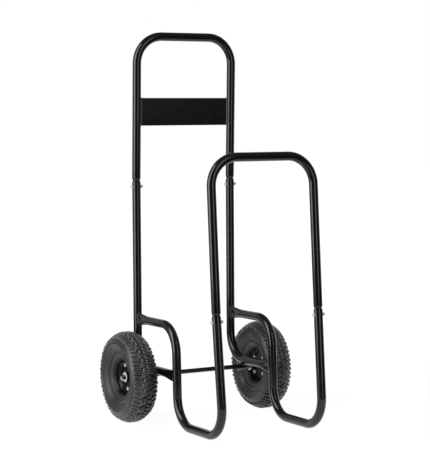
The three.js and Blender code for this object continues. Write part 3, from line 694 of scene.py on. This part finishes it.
outline = gusset_outline()
for name, side in SIDES.items():
    x, half = side * REAR_SPACING, GUSSET_THICKNESS / 2
    rings = [plate_ring(outline, x + u, inset) for u, inset in
             ((-half, 0.7), (-half + 0.2, 0.2), (-half + 0.7, 0), (half - 0.7, 0),
              (half - 0.2, 0.2), (half, 0.7))]
    add_piece("axle_gusset_plate_" + name, *skin(rings), GLOSS_COAT, "frame",
              ["axle_gusset_" + name])
    for face in (-1, 1):
        seam = [Vector((x + face * (half + 0.2), y, z - 0.2))
                for y, z in outline[4:] + outline[:1]]
        where = "in" if face * side < 0 else "out"
        add_piece(f"weld_gusset_{name}_{where}",
                  *bead(seam, Vector((1, 0, 0)), GUSSET_BEAD, closed=False), WELD_HIGHLIGHT_COAT,
                  "frame")
print("made gussets, hung at", round(RUN_HEIGHT - REAR_RADIUS, 1), "mm")

# %% [markdown]
# The axle's ends are chamfered, and each is drilled for its split pin.  The pin is one
# piece of half-round wire folded on itself, so it shows an eye on one side and two legs
# that are bent apart on the other.

# %% Axle
AXLE_RADIUS = 6.5
AXLE_PAST_PIN = 6.0
CHAMFER = 0.9
HUB_OUTBOARD = 9.5
HUB_INBOARD = 38.0
WASHER = 2.0
PIN_RADIUS = 0.8
GAP = 0.3
outer_washer = HALF_TRACK + HUB_OUTBOARD + GAP
pin_x = outer_washer + WASHER + GAP + PIN_RADIUS
axle_end = pin_x + AXLE_PAST_PIN
half_axle = [(axle_end - CHAMFER, AXLE_RADIUS), (axle_end, AXLE_RADIUS - CHAMFER),
             (axle_end, CORE)]
axle_profile = rounded([(-x, r) for x, r in reversed(half_axle)] + half_axle, 0.3)
hub_height = Vector((0, 0, AXLE_HEIGHT))


def on_axle(side):
    """Places a part drawn for the right-hand end of the axle at either end."""
    return lambda v: Vector((side * v.x, side * v.y, v.z)) + hub_height


add_piece("axle_rod", *moved(turned(axle_profile, 48), on_axle(1)), BLACK_ROD, "frame",
          ["axle"])
print("made the axle,", round(2 * axle_end), "mm long")

# %% [markdown]
# The pin's wire follows a smooth curve through a few places: the bent leg, the straight
# run through the axle, and the eye.  A curve object could do it, but rings keep to the
# one idea.  Washers and collars are plain sleeves.


# %% Split pins, washers and collars
WASHER_RADIUS = 14.0
COLLAR_RADIUS = 9.5
PIN_PARTS = 6           # of the wire between two places
PIN_TILT = Matrix.Rotation(math.radians(-45), 4, "X")


def split_pin_wire():
    """The folded wire in the plane of Y and Z, its eye towards +Y."""
    half_loop = [(-9.5, 2.9), (-8.0, 1.1), (-6.0, 0.85), (0.0, 0.85), (7.5, 0.85),
                 (9.2, 1.5), (10.6, 2.6), (12.4, 3.1), (14.2, 2.2)]
    path = half_loop + [(15.0, 0.0)] + [(y, -z) for y, z in reversed(half_loop)]
    curve = [Vector((0, y, z)) for y, z in path]
    fine = curve_through(curve, curve[0], lambda span: PIN_PARTS)
    rings = []
    for i, point in enumerate(fine):
        along = (fine[min(i + 1, len(fine) - 1)] - fine[max(i - 1, 0)]).normalized()
        rings.append(section_ring(point, along, Vector((1, 0, 0)), PIN_RADIUS, sides=12))
    return skin(rings)


for name, side in SIDES.items():
    inner_washer = HALF_TRACK - HUB_INBOARD - GAP - WASHER
    put = on_axle(side)
    for part, x0, x1, outer, material in (
            ("washer_outer", outer_washer, outer_washer + WASHER, WASHER_RADIUS, ZINC),
            ("washer_inner", inner_washer, inner_washer + WASHER, WASHER_RADIUS, ZINC),
            ("axle_collar", REAR_SPACING + REAR_RADIUS + GAP, inner_washer - GAP,
             COLLAR_RADIUS, BLACK_ROD)):
        add_piece(f"{part}_{name}_turned",
                  *moved(sleeve(x0, x1, outer, AXLE_RADIUS + GAP), put), material,
                  "frame", [f"{part}_{name}"])
    pin = moved(split_pin_wire(),
                lambda v, s=side: Vector((s * pin_x, 0, 0)) + PIN_TILT @ v + hub_height)
    add_piece(f"split_pin_{name}_wire", *pin, ZINC, "frame", [f"split_pin_{name}"])
print("made the washers, collars and split pins, pins", round(pin_x), "mm from the middle")

# %% [markdown]
# ## Joint bolts
# One M6 bolt crosses each hoop joint, its head on the left and its nut on the right of
# every tube.  Heads and nuts are hexagons whose corners are turned off at 30 degrees;
# that chamfer draws the curved lines that make a hexagon look like a real fastener.


# %% Hexagons and threads
HEX = 10.0
HEAD = 4.0
NUT = 5.0
NUT_BORE = 2.7
BOLT_RADIUS = 3.0
THREAD_CORE = 0.86      # share of the radius left between the crests
HEX_POINTS = 48


def hexagon(x0, x1, flip=1, bore=0.0):
    """Hexagon bar along X, chamfered to a circle at the x1 end like a bolt head."""
    apothem = HEX / 2
    crest = apothem * 0.96
    spins = [2 * math.pi * (k + 0.5) / HEX_POINTS for k in range(HEX_POINTS)]
    reach = [apothem / math.cos((a % (math.pi / 3)) - math.pi / 6) for a in spins]
    slope = math.tan(math.radians(28))

    def ring(radii, xs):
        return [Vector((x, r * math.cos(a), r * math.sin(a)))
                for x, r, a in zip(xs, radii, spins)]

    def circle(radius, x):
        return ring([radius] * HEX_POINTS, [x] * HEX_POINTS)

    shoulder = [x1 - flip * (r - crest) * slope for r in reach]
    rings = [circle(apothem * 0.9, x0), circle(apothem * 0.97, x0),
             ring(reach, [x0 + flip * 0.25] * HEX_POINTS), ring(reach, shoulder),
             circle(crest, x1)]
    if bore:
        rings += [circle(bore + 0.5, x1), circle(bore, x1 - flip * 0.5), circle(bore, x0)]
    return skin(rings, closed=bool(bore))


def threaded_end(x0, x1):
    """Bolt shank along X with thread crests 1 mm apart, seen past a nut."""
    step = math.copysign(1.0, x1 - x0)
    valley = BOLT_RADIUS * THREAD_CORE
    profile = [(x0, CORE), (x0, valley)]
    for k in range(int(abs(x1 - x0))):
        profile += [(x0 + (k + 0.25) * step, valley),
                    (x0 + (k + 0.5) * step, BOLT_RADIUS),
                    (x0 + (k + 0.75) * step, BOLT_RADIUS)]
    profile += [(x1 - step * 0.2, valley), (x1, BOLT_RADIUS * 0.7), (x1, CORE)]
    return turned(profile, 32)


print("an M6 nut has", len(hexagon(0.0, NUT, bore=NUT_BORE)[0]), "points")

# %% [markdown]
# Each bolt's centre lies a fixed way below the seam of its joint, on the centre line of
# the lower tube, so that it crosses both tubes.

# %% Joint fasteners
BOLT_DROP = 15.0
THREAD_END = 3.0        # thread in view past the nut
for name, side in SIDES.items():
    joints = {
        "rear": (at(side * REAR_SPACING, REAR_JOINT), at(side * REAR_SPACING, KNEE),
                 REAR_RADIUS),
        "front": (at(side * FRONT_SPACING, FRONT_JOINT),
                  at(side * REAR_SPACING, FOOT_FRONT), LOOP_RADIUS),
    }
    for end, (seam, low, radius) in joints.items():
        centre = seam + (low - seam).normalized() * BOLT_DROP
        seat = radius + 0.1
        head = hexagon(-seat, -seat - HEAD, flip=-1)
        nut = hexagon(seat, seat + NUT, bore=NUT_BORE)
        stud = threaded_end(seat - 2, seat + NUT + THREAD_END)
        for kind, part in (("bolt", join([head, stud])), ("nut", nut)):
            add_piece(f"joint_{kind}_{end}_{name}_m6",
                      *moved(part, lambda v, c=centre: v + c), ZINC, "frame",
                      [f"joint_{kind}_{end}_{name}"])
print("made the joint bolts,", BOLT_DROP, "mm below their seams")

# %% [markdown]
# ## The tyres
# The carcass is a turned skin.  Its outline is a few straight runs, bead, flat lower
# wall, shoulder and crown, joined by wide curves, as the mould is cut.  The tread
# blocks stand on the shoulder and the crown.  Each block is a small grid laid on the
# outline and raised from it, with a low border that makes the sloping sides.  Rows are
# staggered by half a pitch, as moulded trail treads are.

# %% Tyre outline
TYRE_RADIUS = 130.0
LUGS = 56
BEAD_RADIUS = 49.5
BEAD_FACE = 17.7
WALL_STEP = 0.6
OUTLINE = [(0.0, 125.0), (12.0, 124.6), (31.5, 115.0), (38.6, 106.5), (40.9, 98.5),
           (37.0, 90.0), (19.6, 55.2)]
# The tyre is the same on both sides, so its curve comes from the second point's mirror.
mirrored = Vector((-OUTLINE[1][0], OUTLINE[1][1]))
WALL_LINE = curve_through([Vector(p) for p in OUTLINE], mirrored,
                          lambda span: round(span.length / WALL_STEP))
WALL_LENGTHS = [0.0]
for a, b in zip(WALL_LINE, WALL_LINE[1:]):
    WALL_LENGTHS.append(WALL_LENGTHS[-1] + (b - a).length)


def on_wall(length):
    """Point and outward direction at a length from the crown, measured on the skin."""
    i = max(k for k, s in enumerate(WALL_LENGTHS[:-1]) if s <= max(length, 0.0))
    a, b = WALL_LINE[i], WALL_LINE[i + 1]
    along = (b - a).normalized()
    return a + along * (length - WALL_LENGTHS[i]), Vector((-along.y, along.x))


print("the wall is", round(WALL_LENGTHS[-1]), "mm from crown to bead")

# %% [markdown]
# The mould leaves raised rings on the sidewall, which catch the light a step away.
# They are real relief on the turned skin, so they also show in the mesh alone.


# %% Sidewall and carcass
# Length from the rim, half width and height of each ring; length, half width and depth
# of the groove.
RINGS = ((2.4, 1.6, 2.4), (16.6, 2.4, 2.3), (30.0, 0.9, 0.7), (38.0, 0.9, 0.7))
GROOVE = (22.0, 1.8, 1.2)


def moulded_rings(length):
    """Height of the sidewall's relief at a length from the crown."""
    from_rim = WALL_LENGTHS[-1] - length
    relief = sum(h * math.exp(-((from_rim - m) / w) ** 6) for m, w, h in RINGS)
    middle, half_width, depth = GROOVE
    return relief - depth * math.exp(-((from_rim - middle) / half_width) ** 2)


def carcass_profile():
    """Closed outline of the tyre without its tread: outside, bead and inside."""
    outer = []
    for point, length in zip(WALL_LINE, WALL_LENGTHS):
        _, out = on_wall(min(length, WALL_LENGTHS[-1] - 0.01))
        outer.append(point + out * moulded_rings(length))
    bead_points = [(18.4, 54.0), (BEAD_FACE, 53.1), (13.6, BEAD_RADIUS),
                   (9.6, BEAD_RADIUS), (8.7, BEAD_RADIUS + 1.0)]
    inner = [(9.0, 56.5), (35.5, 99.4), (20.5, 119.5)]
    half = [(p[0], p[1]) for p in outer[1:]] + bead_points + inner
    return [OUTLINE[0]] + half + [(-x, r) for x, r in reversed(half)]


print("the carcass profile has", len(carcass_profile()), "points")

# %% [markdown]
# A block knows where it starts and ends on the outline, in millimetres from the crown,
# how wide it is round the tyre, and how far it leans.


# %% Tread blocks
SLOPE = 0.8             # by which a block's sides lean out
ROUNDED_EDGE = 0.7
SCUFF_AND_GLINT_ACROSS = 3.0      # width of a block top's border in the pale edge tone, rubbed wear and painted highlight
SCUFF_AND_GLINT_ALONG = 2.4
TOP_STEP = 4.0
FOOT_SINK = 0.5         # of a block's foot under the carcass
EDGE_DROP = 0.6         # of its top's edge below the top
# Width, lean and the heights at both ends of a block.
SHOULDER_BLOCK = (8.8, 3.5, (4.8, 3.7))
CENTRE_BLOCK = (9.2, -4.0, (5.0, 4.8))
# Where a shoulder block starts and ends, long and short ones by turns.
SHOULDERS = ((17.6, 38.5), (13.4, 36.5))
CENTRE_START = 1.4
ROW_GAP = 2.6


def border(near, far, scuff_and_glint):
    """(place, level) of the points from one side of a block onto its top."""
    step = math.copysign(1, far - near)
    return [(near - step * SLOPE, 0), (near, 1), (near + step * ROUNDED_EDGE, 2),
            (near + step * scuff_and_glint, 2)]


def block(first, last, spin, width, lean, heights):
    """One block from first to last along the outline, about a spin angle.  It narrows
    with the tyre's radius, as the gaps beside it do."""
    across = border(-width / 2, width / 2, SCUFF_AND_GLINT_ACROSS)
    across += reversed(border(width / 2, -width / 2, SCUFF_AND_GLINT_ACROSS))
    steps = max(3, round((last - first) / TOP_STEP))
    along = border(first, last, SCUFF_AND_GLINT_ALONG)
    along += [(first + (last - first) * k / steps, 2) for k in range(1, steps)]
    along += reversed(border(last, first, SCUFF_AND_GLINT_ALONG))
    rows = []
    for length, level in along:
        foot, out = on_wall(length)
        share = (length - first) / (last - first)
        height = heights[0] + (heights[1] - heights[0]) * min(max(share, 0), 1)
        lift = (-FOOT_SINK, height - EDGE_DROP, height)
        row = []
        for offset, level_across in across:
            spot = foot + out * lift[min(level, level_across)]
            turn = spin + (offset * (spot.y / TYRE_RADIUS) ** 2 + lean * (share - 0.5)) / spot.y
            row.append(Vector((spot.x, spot.y * math.cos(turn), spot.y * math.sin(turn))))
        rows.append(row)
    wide = len(across)
    vertices = [v for row in rows for v in row]
    faces = [(i * wide + k, i * wide + k + 1, (i + 1) * wide + k + 1, (i + 1) * wide + k)
             for i in range(len(rows) - 1) for k in range(wide - 1)]
    rim = (list(range(wide)) + [i * wide + wide - 1 for i in range(1, len(rows))]
           + [(len(rows) - 1) * wide + k for k in range(wide - 2, -1, -1)]
           + [i * wide for i in range(len(rows) - 2, 0, -1)])
    return vertices, faces + [tuple(reversed(rim))]


def tread():
    """A shoulder row and a centre row on both sides of the tyre."""
    pitch = 2 * math.pi / LUGS
    blocks = []
    for i in range(LUGS):
        split, foot = SHOULDERS[i % 2]
        for mirror, stagger in ((1, 0), (-1, 0.5)):
            turn = (i + stagger) * pitch
            for part in (block(split, foot, turn, *SHOULDER_BLOCK),
                         block(CENTRE_START, split - ROW_GAP, turn + pitch / 2,
                               *CENTRE_BLOCK)):
                blocks.append(moved(part, lambda v, m=mirror: Vector((m * v.x, v.y, v.z))))
    return join(blocks)


print("one shoulder block has", len(block(*SHOULDERS[1], 0, *SHOULDER_BLOCK)[0]), "points")

# %% [markdown]
# ## The rims and hubs
# Each rim is two pressed steel halves bolted on the hub's flange.  Pressed sheet has
# one thickness everywhere and a generous radius at each bend, so the profile is drawn
# with rounded corners: flat disc, sloping drop wall, bead seat, rolled lip.

# %% Rim and hub profiles
DISC_FACE = 1.65
SHEET = 2.0
RIM_HALF = 20.0
SEAT = 48.9
LIP = 53.0
DISC = 41.0
BOLT_CIRCLE = 34.0
HUB_SECTION = (12.5, 10.0, 0.5)         # radius, bore and rounding
FLANGE_SECTION = (40.0, 12.4, 0.3)
FLANGE_HALF = 1.5
LUG_TURN = 2 * math.pi / LUGS
WHEEL_TURN = {"left": 9 * LUG_TURN, "right": 0.0}


def rim_profile():
    """Closed outline of the outboard rim half."""
    slope_end = DISC_FACE + SEAT - DISC
    return rounded([
        (DISC_FACE, 12.9), (DISC_FACE, DISC), (slope_end, SEAT), (14.2, SEAT),
        (RIM_HALF - 2.0, LIP - 1.0), (RIM_HALF - 1.2, LIP), (RIM_HALF - 0.2, LIP - 0.3),
        (RIM_HALF - 0.4, LIP - 1.6), (15.0, SEAT - SHEET),
        (slope_end + 0.9, SEAT - SHEET), (DISC_FACE + SHEET, DISC - 0.9),
        (DISC_FACE + SHEET, 12.9)], 2.2, 5)


def hub_parts():
    return join([sleeve(-HUB_INBOARD, HUB_OUTBOARD, *HUB_SECTION),
                 sleeve(-FLANGE_HALF, FLANGE_HALF, *FLANGE_SECTION)])


def around_bolts(part):
    """The part at each of the four places on the bolt circle."""
    parts = []
    for i in range(4):
        turn = Matrix.Rotation((i + 0.5) * math.pi / 2, 4, "X")
        parts.append(moved(part, lambda v, t=turn: t @ (v + Vector((0, 0, BOLT_CIRCLE)))))
    return parts


print("the rim profile has", len(rim_profile()), "points")

# %% [markdown]
# The valve leans out of the sloping wall of the inboard rim half.  It is a moulded
# rubber stem with a thick collar where it seals in the rim, and a ribbed nylon cap.


# %% Valve
VALVE_LEAN = 45
CAP_RIBS = 18
RIB_DEPTH = 0.25


def valve_place(part):
    """A part drawn along X, set in the middle of the sloping wall."""
    slope_x = DISC_FACE + (SEAT - DISC) / 2 + SHEET / 2
    foot = Vector((-slope_x, 0, (SEAT + DISC) / 2 - SHEET / 2))
    lean = Matrix.Rotation(math.radians(180 - VALVE_LEAN), 4, "Y")
    return moved(part, lambda v: lean @ v + foot)


def valve_stem():
    return valve_place(turned(rounded([
        (-1.0, CORE), (-1.0, 6.4), (1.2, 6.8), (3.2, 6.2), (4.6, 4.6), (8.0, 3.7),
        (17.0, 3.0), (20.0, 2.9), (20.0, CORE)], 1.0), 40))


def valve_cap():
    spins = [2 * math.pi * k / (CAP_RIBS * 4) for k in range(CAP_RIBS * 4)]
    rings = []
    for x, radius, depth in ((13.4, 3.5, 0), (13.4, 4.2, 0), (14.0, 4.5, RIB_DEPTH),
                             (20.0, 4.4, RIB_DEPTH), (21.2, 3.8, 0), (21.9, 2.4, 0),
                             (22.0, 0.6, 0)):
        reach = [radius + depth * math.cos(CAP_RIBS * a) for a in spins]
        rings.append([Vector((x, d * math.cos(a), d * math.sin(a)))
                      for d, a in zip(reach, spins)])
    return valve_place(skin(rings))


print("the valve leans", VALVE_LEAN, "degrees from the axle's direction")

# %% [markdown]
# ## Wheels in place
# Both wheels are drawn the same, with the outboard side towards +X, and then turned
# half round about the vertical for the left-hand side, as the same wheel is simply
# fitted the other way about.  Each is also spun on its axle to where the photograph
# shows its bolts.


# %% Wheels
BUSH_LENGTH = 14.0
BUSH_INSET = 0.2                # of the bush's face inside the hub's end
BUSH_SECTION = (9.9, 6.6, 0.5)
SHANK_RADIUS = 2.9
RIM_THREAD_END = 1.5


def wheel(name, side):
    """All pieces of one wheel, riding on its own body."""
    body = "wheel_" + name
    spin = Matrix.Rotation(WHEEL_TURN[name], 4, "X")
    face = Matrix.Rotation(math.pi if side < 0 else 0.0, 4, "Z")
    centre = Vector((side * HALF_TRACK, 0, AXLE_HEIGHT))

    def put(part):
        return moved(part, lambda v: face @ (spin @ v) + centre)

    flip = Matrix.Rotation(math.pi, 4, "Z")
    rim = turned(rim_profile(), 96)
    bolt_seat = DISC_FACE + SHEET
    head = hexagon(bolt_seat, bolt_seat + HEAD)
    nut = hexagon(-bolt_seat, -bolt_seat - NUT, flip=-1, bore=NUT_BORE)
    stud = threaded_end(-bolt_seat + 1, -bolt_seat - NUT - RIM_THREAD_END)
    shank = sleeve(-bolt_seat, bolt_seat, SHANK_RADIUS, CORE, 0.1, 24)
    tyre = join([turned(carcass_profile(), 4 * LUGS), tread()])
    bush_outer = sleeve(HUB_OUTBOARD - BUSH_LENGTH, HUB_OUTBOARD - BUSH_INSET,
                        *BUSH_SECTION)
    bush_inner = sleeve(BUSH_INSET - HUB_INBOARD, BUSH_LENGTH - HUB_INBOARD,
                        *BUSH_SECTION)
    for node, how, part, material in (
            ("tyre", "moulded", tyre, TYRE_RUBBER),
            ("rim_outer", "pressed", rim, RIM_ENAMEL),
            ("rim_inner", "pressed", moved(rim, lambda v: flip @ v), RIM_ENAMEL),
            ("hub", "tube", hub_parts(), RIM_ENAMEL),
            ("hub_bush_outer", "moulded", bush_outer, NYLON),
            ("hub_bush_inner", "moulded", bush_inner, NYLON),
            ("valve_stem", "moulded", valve_stem(), TUBE_RUBBER),
            ("valve_cap", "moulded", valve_cap(), NYLON)):
        add_piece(f"{node}_{name}_{how}", *put(part), material, body,
                  [f"{node}_{name}"])
    for kind, fastener in (("bolt", join([head, stud, shank])), ("nut", nut)):
        for i, part in enumerate(around_bolts(fastener), 1):
            add_piece(f"rim_{kind}_{name}_{i}_m6", *put(part), ZINC, body,
                      [f"rim_{kind}_{name}_{i}"])
    inner_tube = frame["nodes"]["inner_tube_" + name]
    inner_tube.data.materials.clear()
    inner_tube.data.materials.append(TUBE_RUBBER)


for name, side in SIDES.items():
    wheel(name, side)
print("made two wheels with", 4 * LUGS, "tread blocks each")

# %% [markdown]
# ## The studio
# The photograph is a catalogue cut-out: white all round, with soft light from a tall
# box on the left and a smaller one on the right, which draw the two pale lines along
# every tube.  The floor is white and keeps a faint shadow.  White for the camera comes
# from the Is Camera Ray output, so no extra light falls on the cart to make it.


# %% White world
def blank_tree(data):
    """The emptied node tree of a world or a material."""
    data.use_nodes = True
    data.node_tree.nodes.clear()
    return data.node_tree


def seen_rays(tree, *others):
    """1 for rays from the camera and of the other named kinds, 0 for all the rest."""
    rays = add_node(tree, "ShaderNodeLightPath")
    share = rays.outputs["Is Camera Ray"]
    for kind in others:
        share = add_node(tree, "ShaderNodeMath", {0: share, 1: rays.outputs[kind]},
                         operation="MAXIMUM").outputs[0]
    return share


scene = bpy.context.scene
scene.view_settings.view_transform = "Standard"
scene.world = bpy.data.worlds.new("white_studio")
tree = blank_tree(scene.world)
seen = seen_rays(tree, "Is Glossy Ray", "Is Transmission Ray")
FILL_STRENGTH = 0.25
fill = add_node(tree, "ShaderNodeBackground", {"Color": (1, 1, 1, 1),
                                               "Strength": FILL_STRENGTH})
white = add_node(tree, "ShaderNodeBackground", {"Color": (1, 1, 1, 1), "Strength": 1.0})
mixed = add_node(tree, "ShaderNodeMixShader", {0: seen, 1: fill.outputs[0],
                                               2: white.outputs[0]})
add_node(tree, "ShaderNodeOutputWorld", {"Surface": mixed.outputs[0]})
print("the world fills shadows at", FILL_STRENGTH)

# %% [markdown]
# The floor is white paper.  Near the cart a seventh of its look is a matt surface, which
# takes the cart's soft shadow; further off it is pure white, so no horizon shows.

# %% Paper floor
HALF_FLOOR = 30.0
JUST_BELOW = -0.0005
FADE_STARTS, FADE_ENDS = 1.0, 2.6       # metres from the cart's middle
NEAR_SHARE = 0.86                       # of pure white near the cart
floor_mesh = bpy.data.meshes.new("floor")
floor_mesh.from_pydata([(x * HALF_FLOOR, y * HALF_FLOOR, 0) for x, y in
                        ((-1, -1), (1, -1), (1, 1), (-1, 1))], [], [(0, 1, 2, 3)])
floor = add_object("floor", floor_mesh)
floor.location.z = JUST_BELOW
paper = bpy.data.materials.new("white_paper")
tree = blank_tree(paper)
seen = seen_rays(tree, "Is Glossy Ray")
place = add_node(tree, "ShaderNodeTexCoord").outputs["Object"]
away = add_node(tree, "ShaderNodeVectorMath", {0: place}, operation="LENGTH")
fade = add_node(tree, "ShaderNodeMapRange",
                {"Value": away.outputs["Value"], "From Min": FADE_STARTS,
                 "From Max": FADE_ENDS, "To Min": NEAR_SHARE, "To Max": 1.0})
share = add_node(tree, "ShaderNodeMath", {0: seen, 1: fade.outputs["Result"]},
                 operation="MULTIPLY")
matt = add_node(tree, "ShaderNodeBsdfDiffuse", {"Color": (0.9, 0.9, 0.9, 1)})
glow = add_node(tree, "ShaderNodeEmission", {"Color": (1, 1, 1, 1), "Strength": 1.1})
both = add_node(tree, "ShaderNodeMixShader", {0: share.outputs[0], 1: matt.outputs[0],
                                              2: glow.outputs[0]})
add_node(tree, "ShaderNodeOutputMaterial", {"Surface": both.outputs[0]})
floor_mesh.materials.append(paper)
print("made a floor", 2 * HALF_FLOOR, "m wide")

# %% [markdown]
# ## Camera
# The camera was found by matching about sixty points of the photograph at once: the
# wheels' ellipses, the joints and the ends of each bend.  It stands 4.6 m away, a
# little lower than the handle's plate, with a long lens, turned 28.6 degrees and tipped
# down 3.3 degrees.

# %% Camera
AZIMUTH = math.radians(28.6)
TIP = math.radians(3.33)
ROLL = math.radians(-0.85)
STAND = Vector((-2135.4, -4045.2, 800.3))
LENS = 121.55
ahead = Vector((math.sin(AZIMUTH) * math.cos(TIP), math.cos(AZIMUTH) * math.cos(TIP),
                -math.sin(TIP)))
level = Vector((math.cos(AZIMUTH), -math.sin(AZIMUTH), 0))
over = level.cross(ahead)
right = level * math.cos(ROLL) + over * math.sin(ROLL)
up = over * math.cos(ROLL) - level * math.sin(ROLL)
camera_data = bpy.data.cameras.new("camera")
camera_data.lens = LENS
camera_data.sensor_width = 36.0
camera = add_object("camera", camera_data)
turn = Matrix((right, up, -ahead)).transposed().to_4x4()
camera.matrix_world = Matrix.Translation(to_frame(STAND)) @ turn
scene.camera = camera
print("camera at", [round(v, 2) for v in camera.location])

# %% [markdown]
# ## Lamps
# A polished round tube mirrors the whole room squeezed sideways, so where a lamp stands
# decides where its line falls on every tube.  Each lamp is therefore placed by its
# angle round the cart, counted from the camera.


# %% Lamps
AIM_HEIGHT = 0.5


def softbox(name, swing, height, distance, width, tall, radiance):
    """Area lamp aimed at the cart, swing degrees to the right of the camera."""
    lamp = bpy.data.lights.new(name, "AREA")
    lamp.shape = "RECTANGLE"
    lamp.size, lamp.size_y = width, tall
    lamp.energy = radiance * math.pi * width * tall
    holder = add_object(name, lamp)
    target = Vector((0, 0, AIM_HEIGHT))
    facing = math.atan2(-ahead.x, -ahead.y) - math.radians(swing)
    spot = target + Vector((math.sin(facing), math.cos(facing), 0)) * distance
    spot.z = height
    holder.location = spot
    holder.rotation_euler = (spot - target).to_track_quat("Z", "Y").to_euler()


softbox("key_left", -60, 1.5, 2.2, 1.35, 3.4, 4.4)
softbox("strip_right", 34, 1.0, 2.4, 1.05, 2.6, 1.9)
print("lit the studio")

# %% [markdown]
# Between and beyond the two lamps hangs dark cloth, called a flag, so that a gloss black
# tube stays black in its middle.  It lies over the floor in front of the cart, rises as
# a wall round the camera's side and hangs overhead, and only reflections show it.  A
# grey card on the left dims the outer edge of every tube.


# %% Flags
NEAR, FAR = 0.9, 5.6    # metres from the cart's middle
CARD = 3.4
LOW, CEILING = 0.004, 3.8
SWEEP_STEPS = 24


def flag(name, first, last, rows, tone):
    """Cloth swept from one angle round the cart to another; rows are the (distance,
    height) of its folds."""
    middle = math.atan2(-ahead.x, -ahead.y)
    points = []
    for k in range(SWEEP_STEPS + 1):
        a = middle - math.radians(first + (last - first) * k / SWEEP_STEPS)
        points += [(math.sin(a) * reach, math.cos(a) * reach, z) for reach, z in rows]
    count = len(rows)
    quads = [(count * k + i, count * (k + 1) + i, count * (k + 1) + i + 1, count * k + i + 1)
             for k in range(SWEEP_STEPS) for i in range(count - 1)]
    mesh = bpy.data.meshes.new(name)
    mesh.from_pydata(points, [], quads)
    cloth = bpy.data.materials.new(name + "_cloth")
    tree = blank_tree(cloth)
    look = add_node(tree, "ShaderNodeEmission", {"Color": linear(tone), "Strength": 1.0})
    add_node(tree, "ShaderNodeOutputMaterial", {"Surface": look.outputs[0]})
    mesh.materials.append(cloth)
    wall = add_object(name, mesh)
    wall.visible_camera = wall.visible_diffuse = wall.visible_shadow = False


flag("flag_front", -46, 112, [(NEAR, LOW), (FAR, LOW), (FAR, CEILING)], "#4a4a4a")
flag("flag_left_floor", -150, -92, [(NEAR, LOW), (CARD, LOW)], "#6e6e6e")
flag("card_left", -150, -92, [(CARD, LOW), (FAR, LOW), (FAR, CEILING)], "#bcbcbc")
flag("flag_overhead", -180, 180, [(0.05, CEILING), (FAR, CEILING)], "#787878")
print("hung the flags at", FAR, "m")
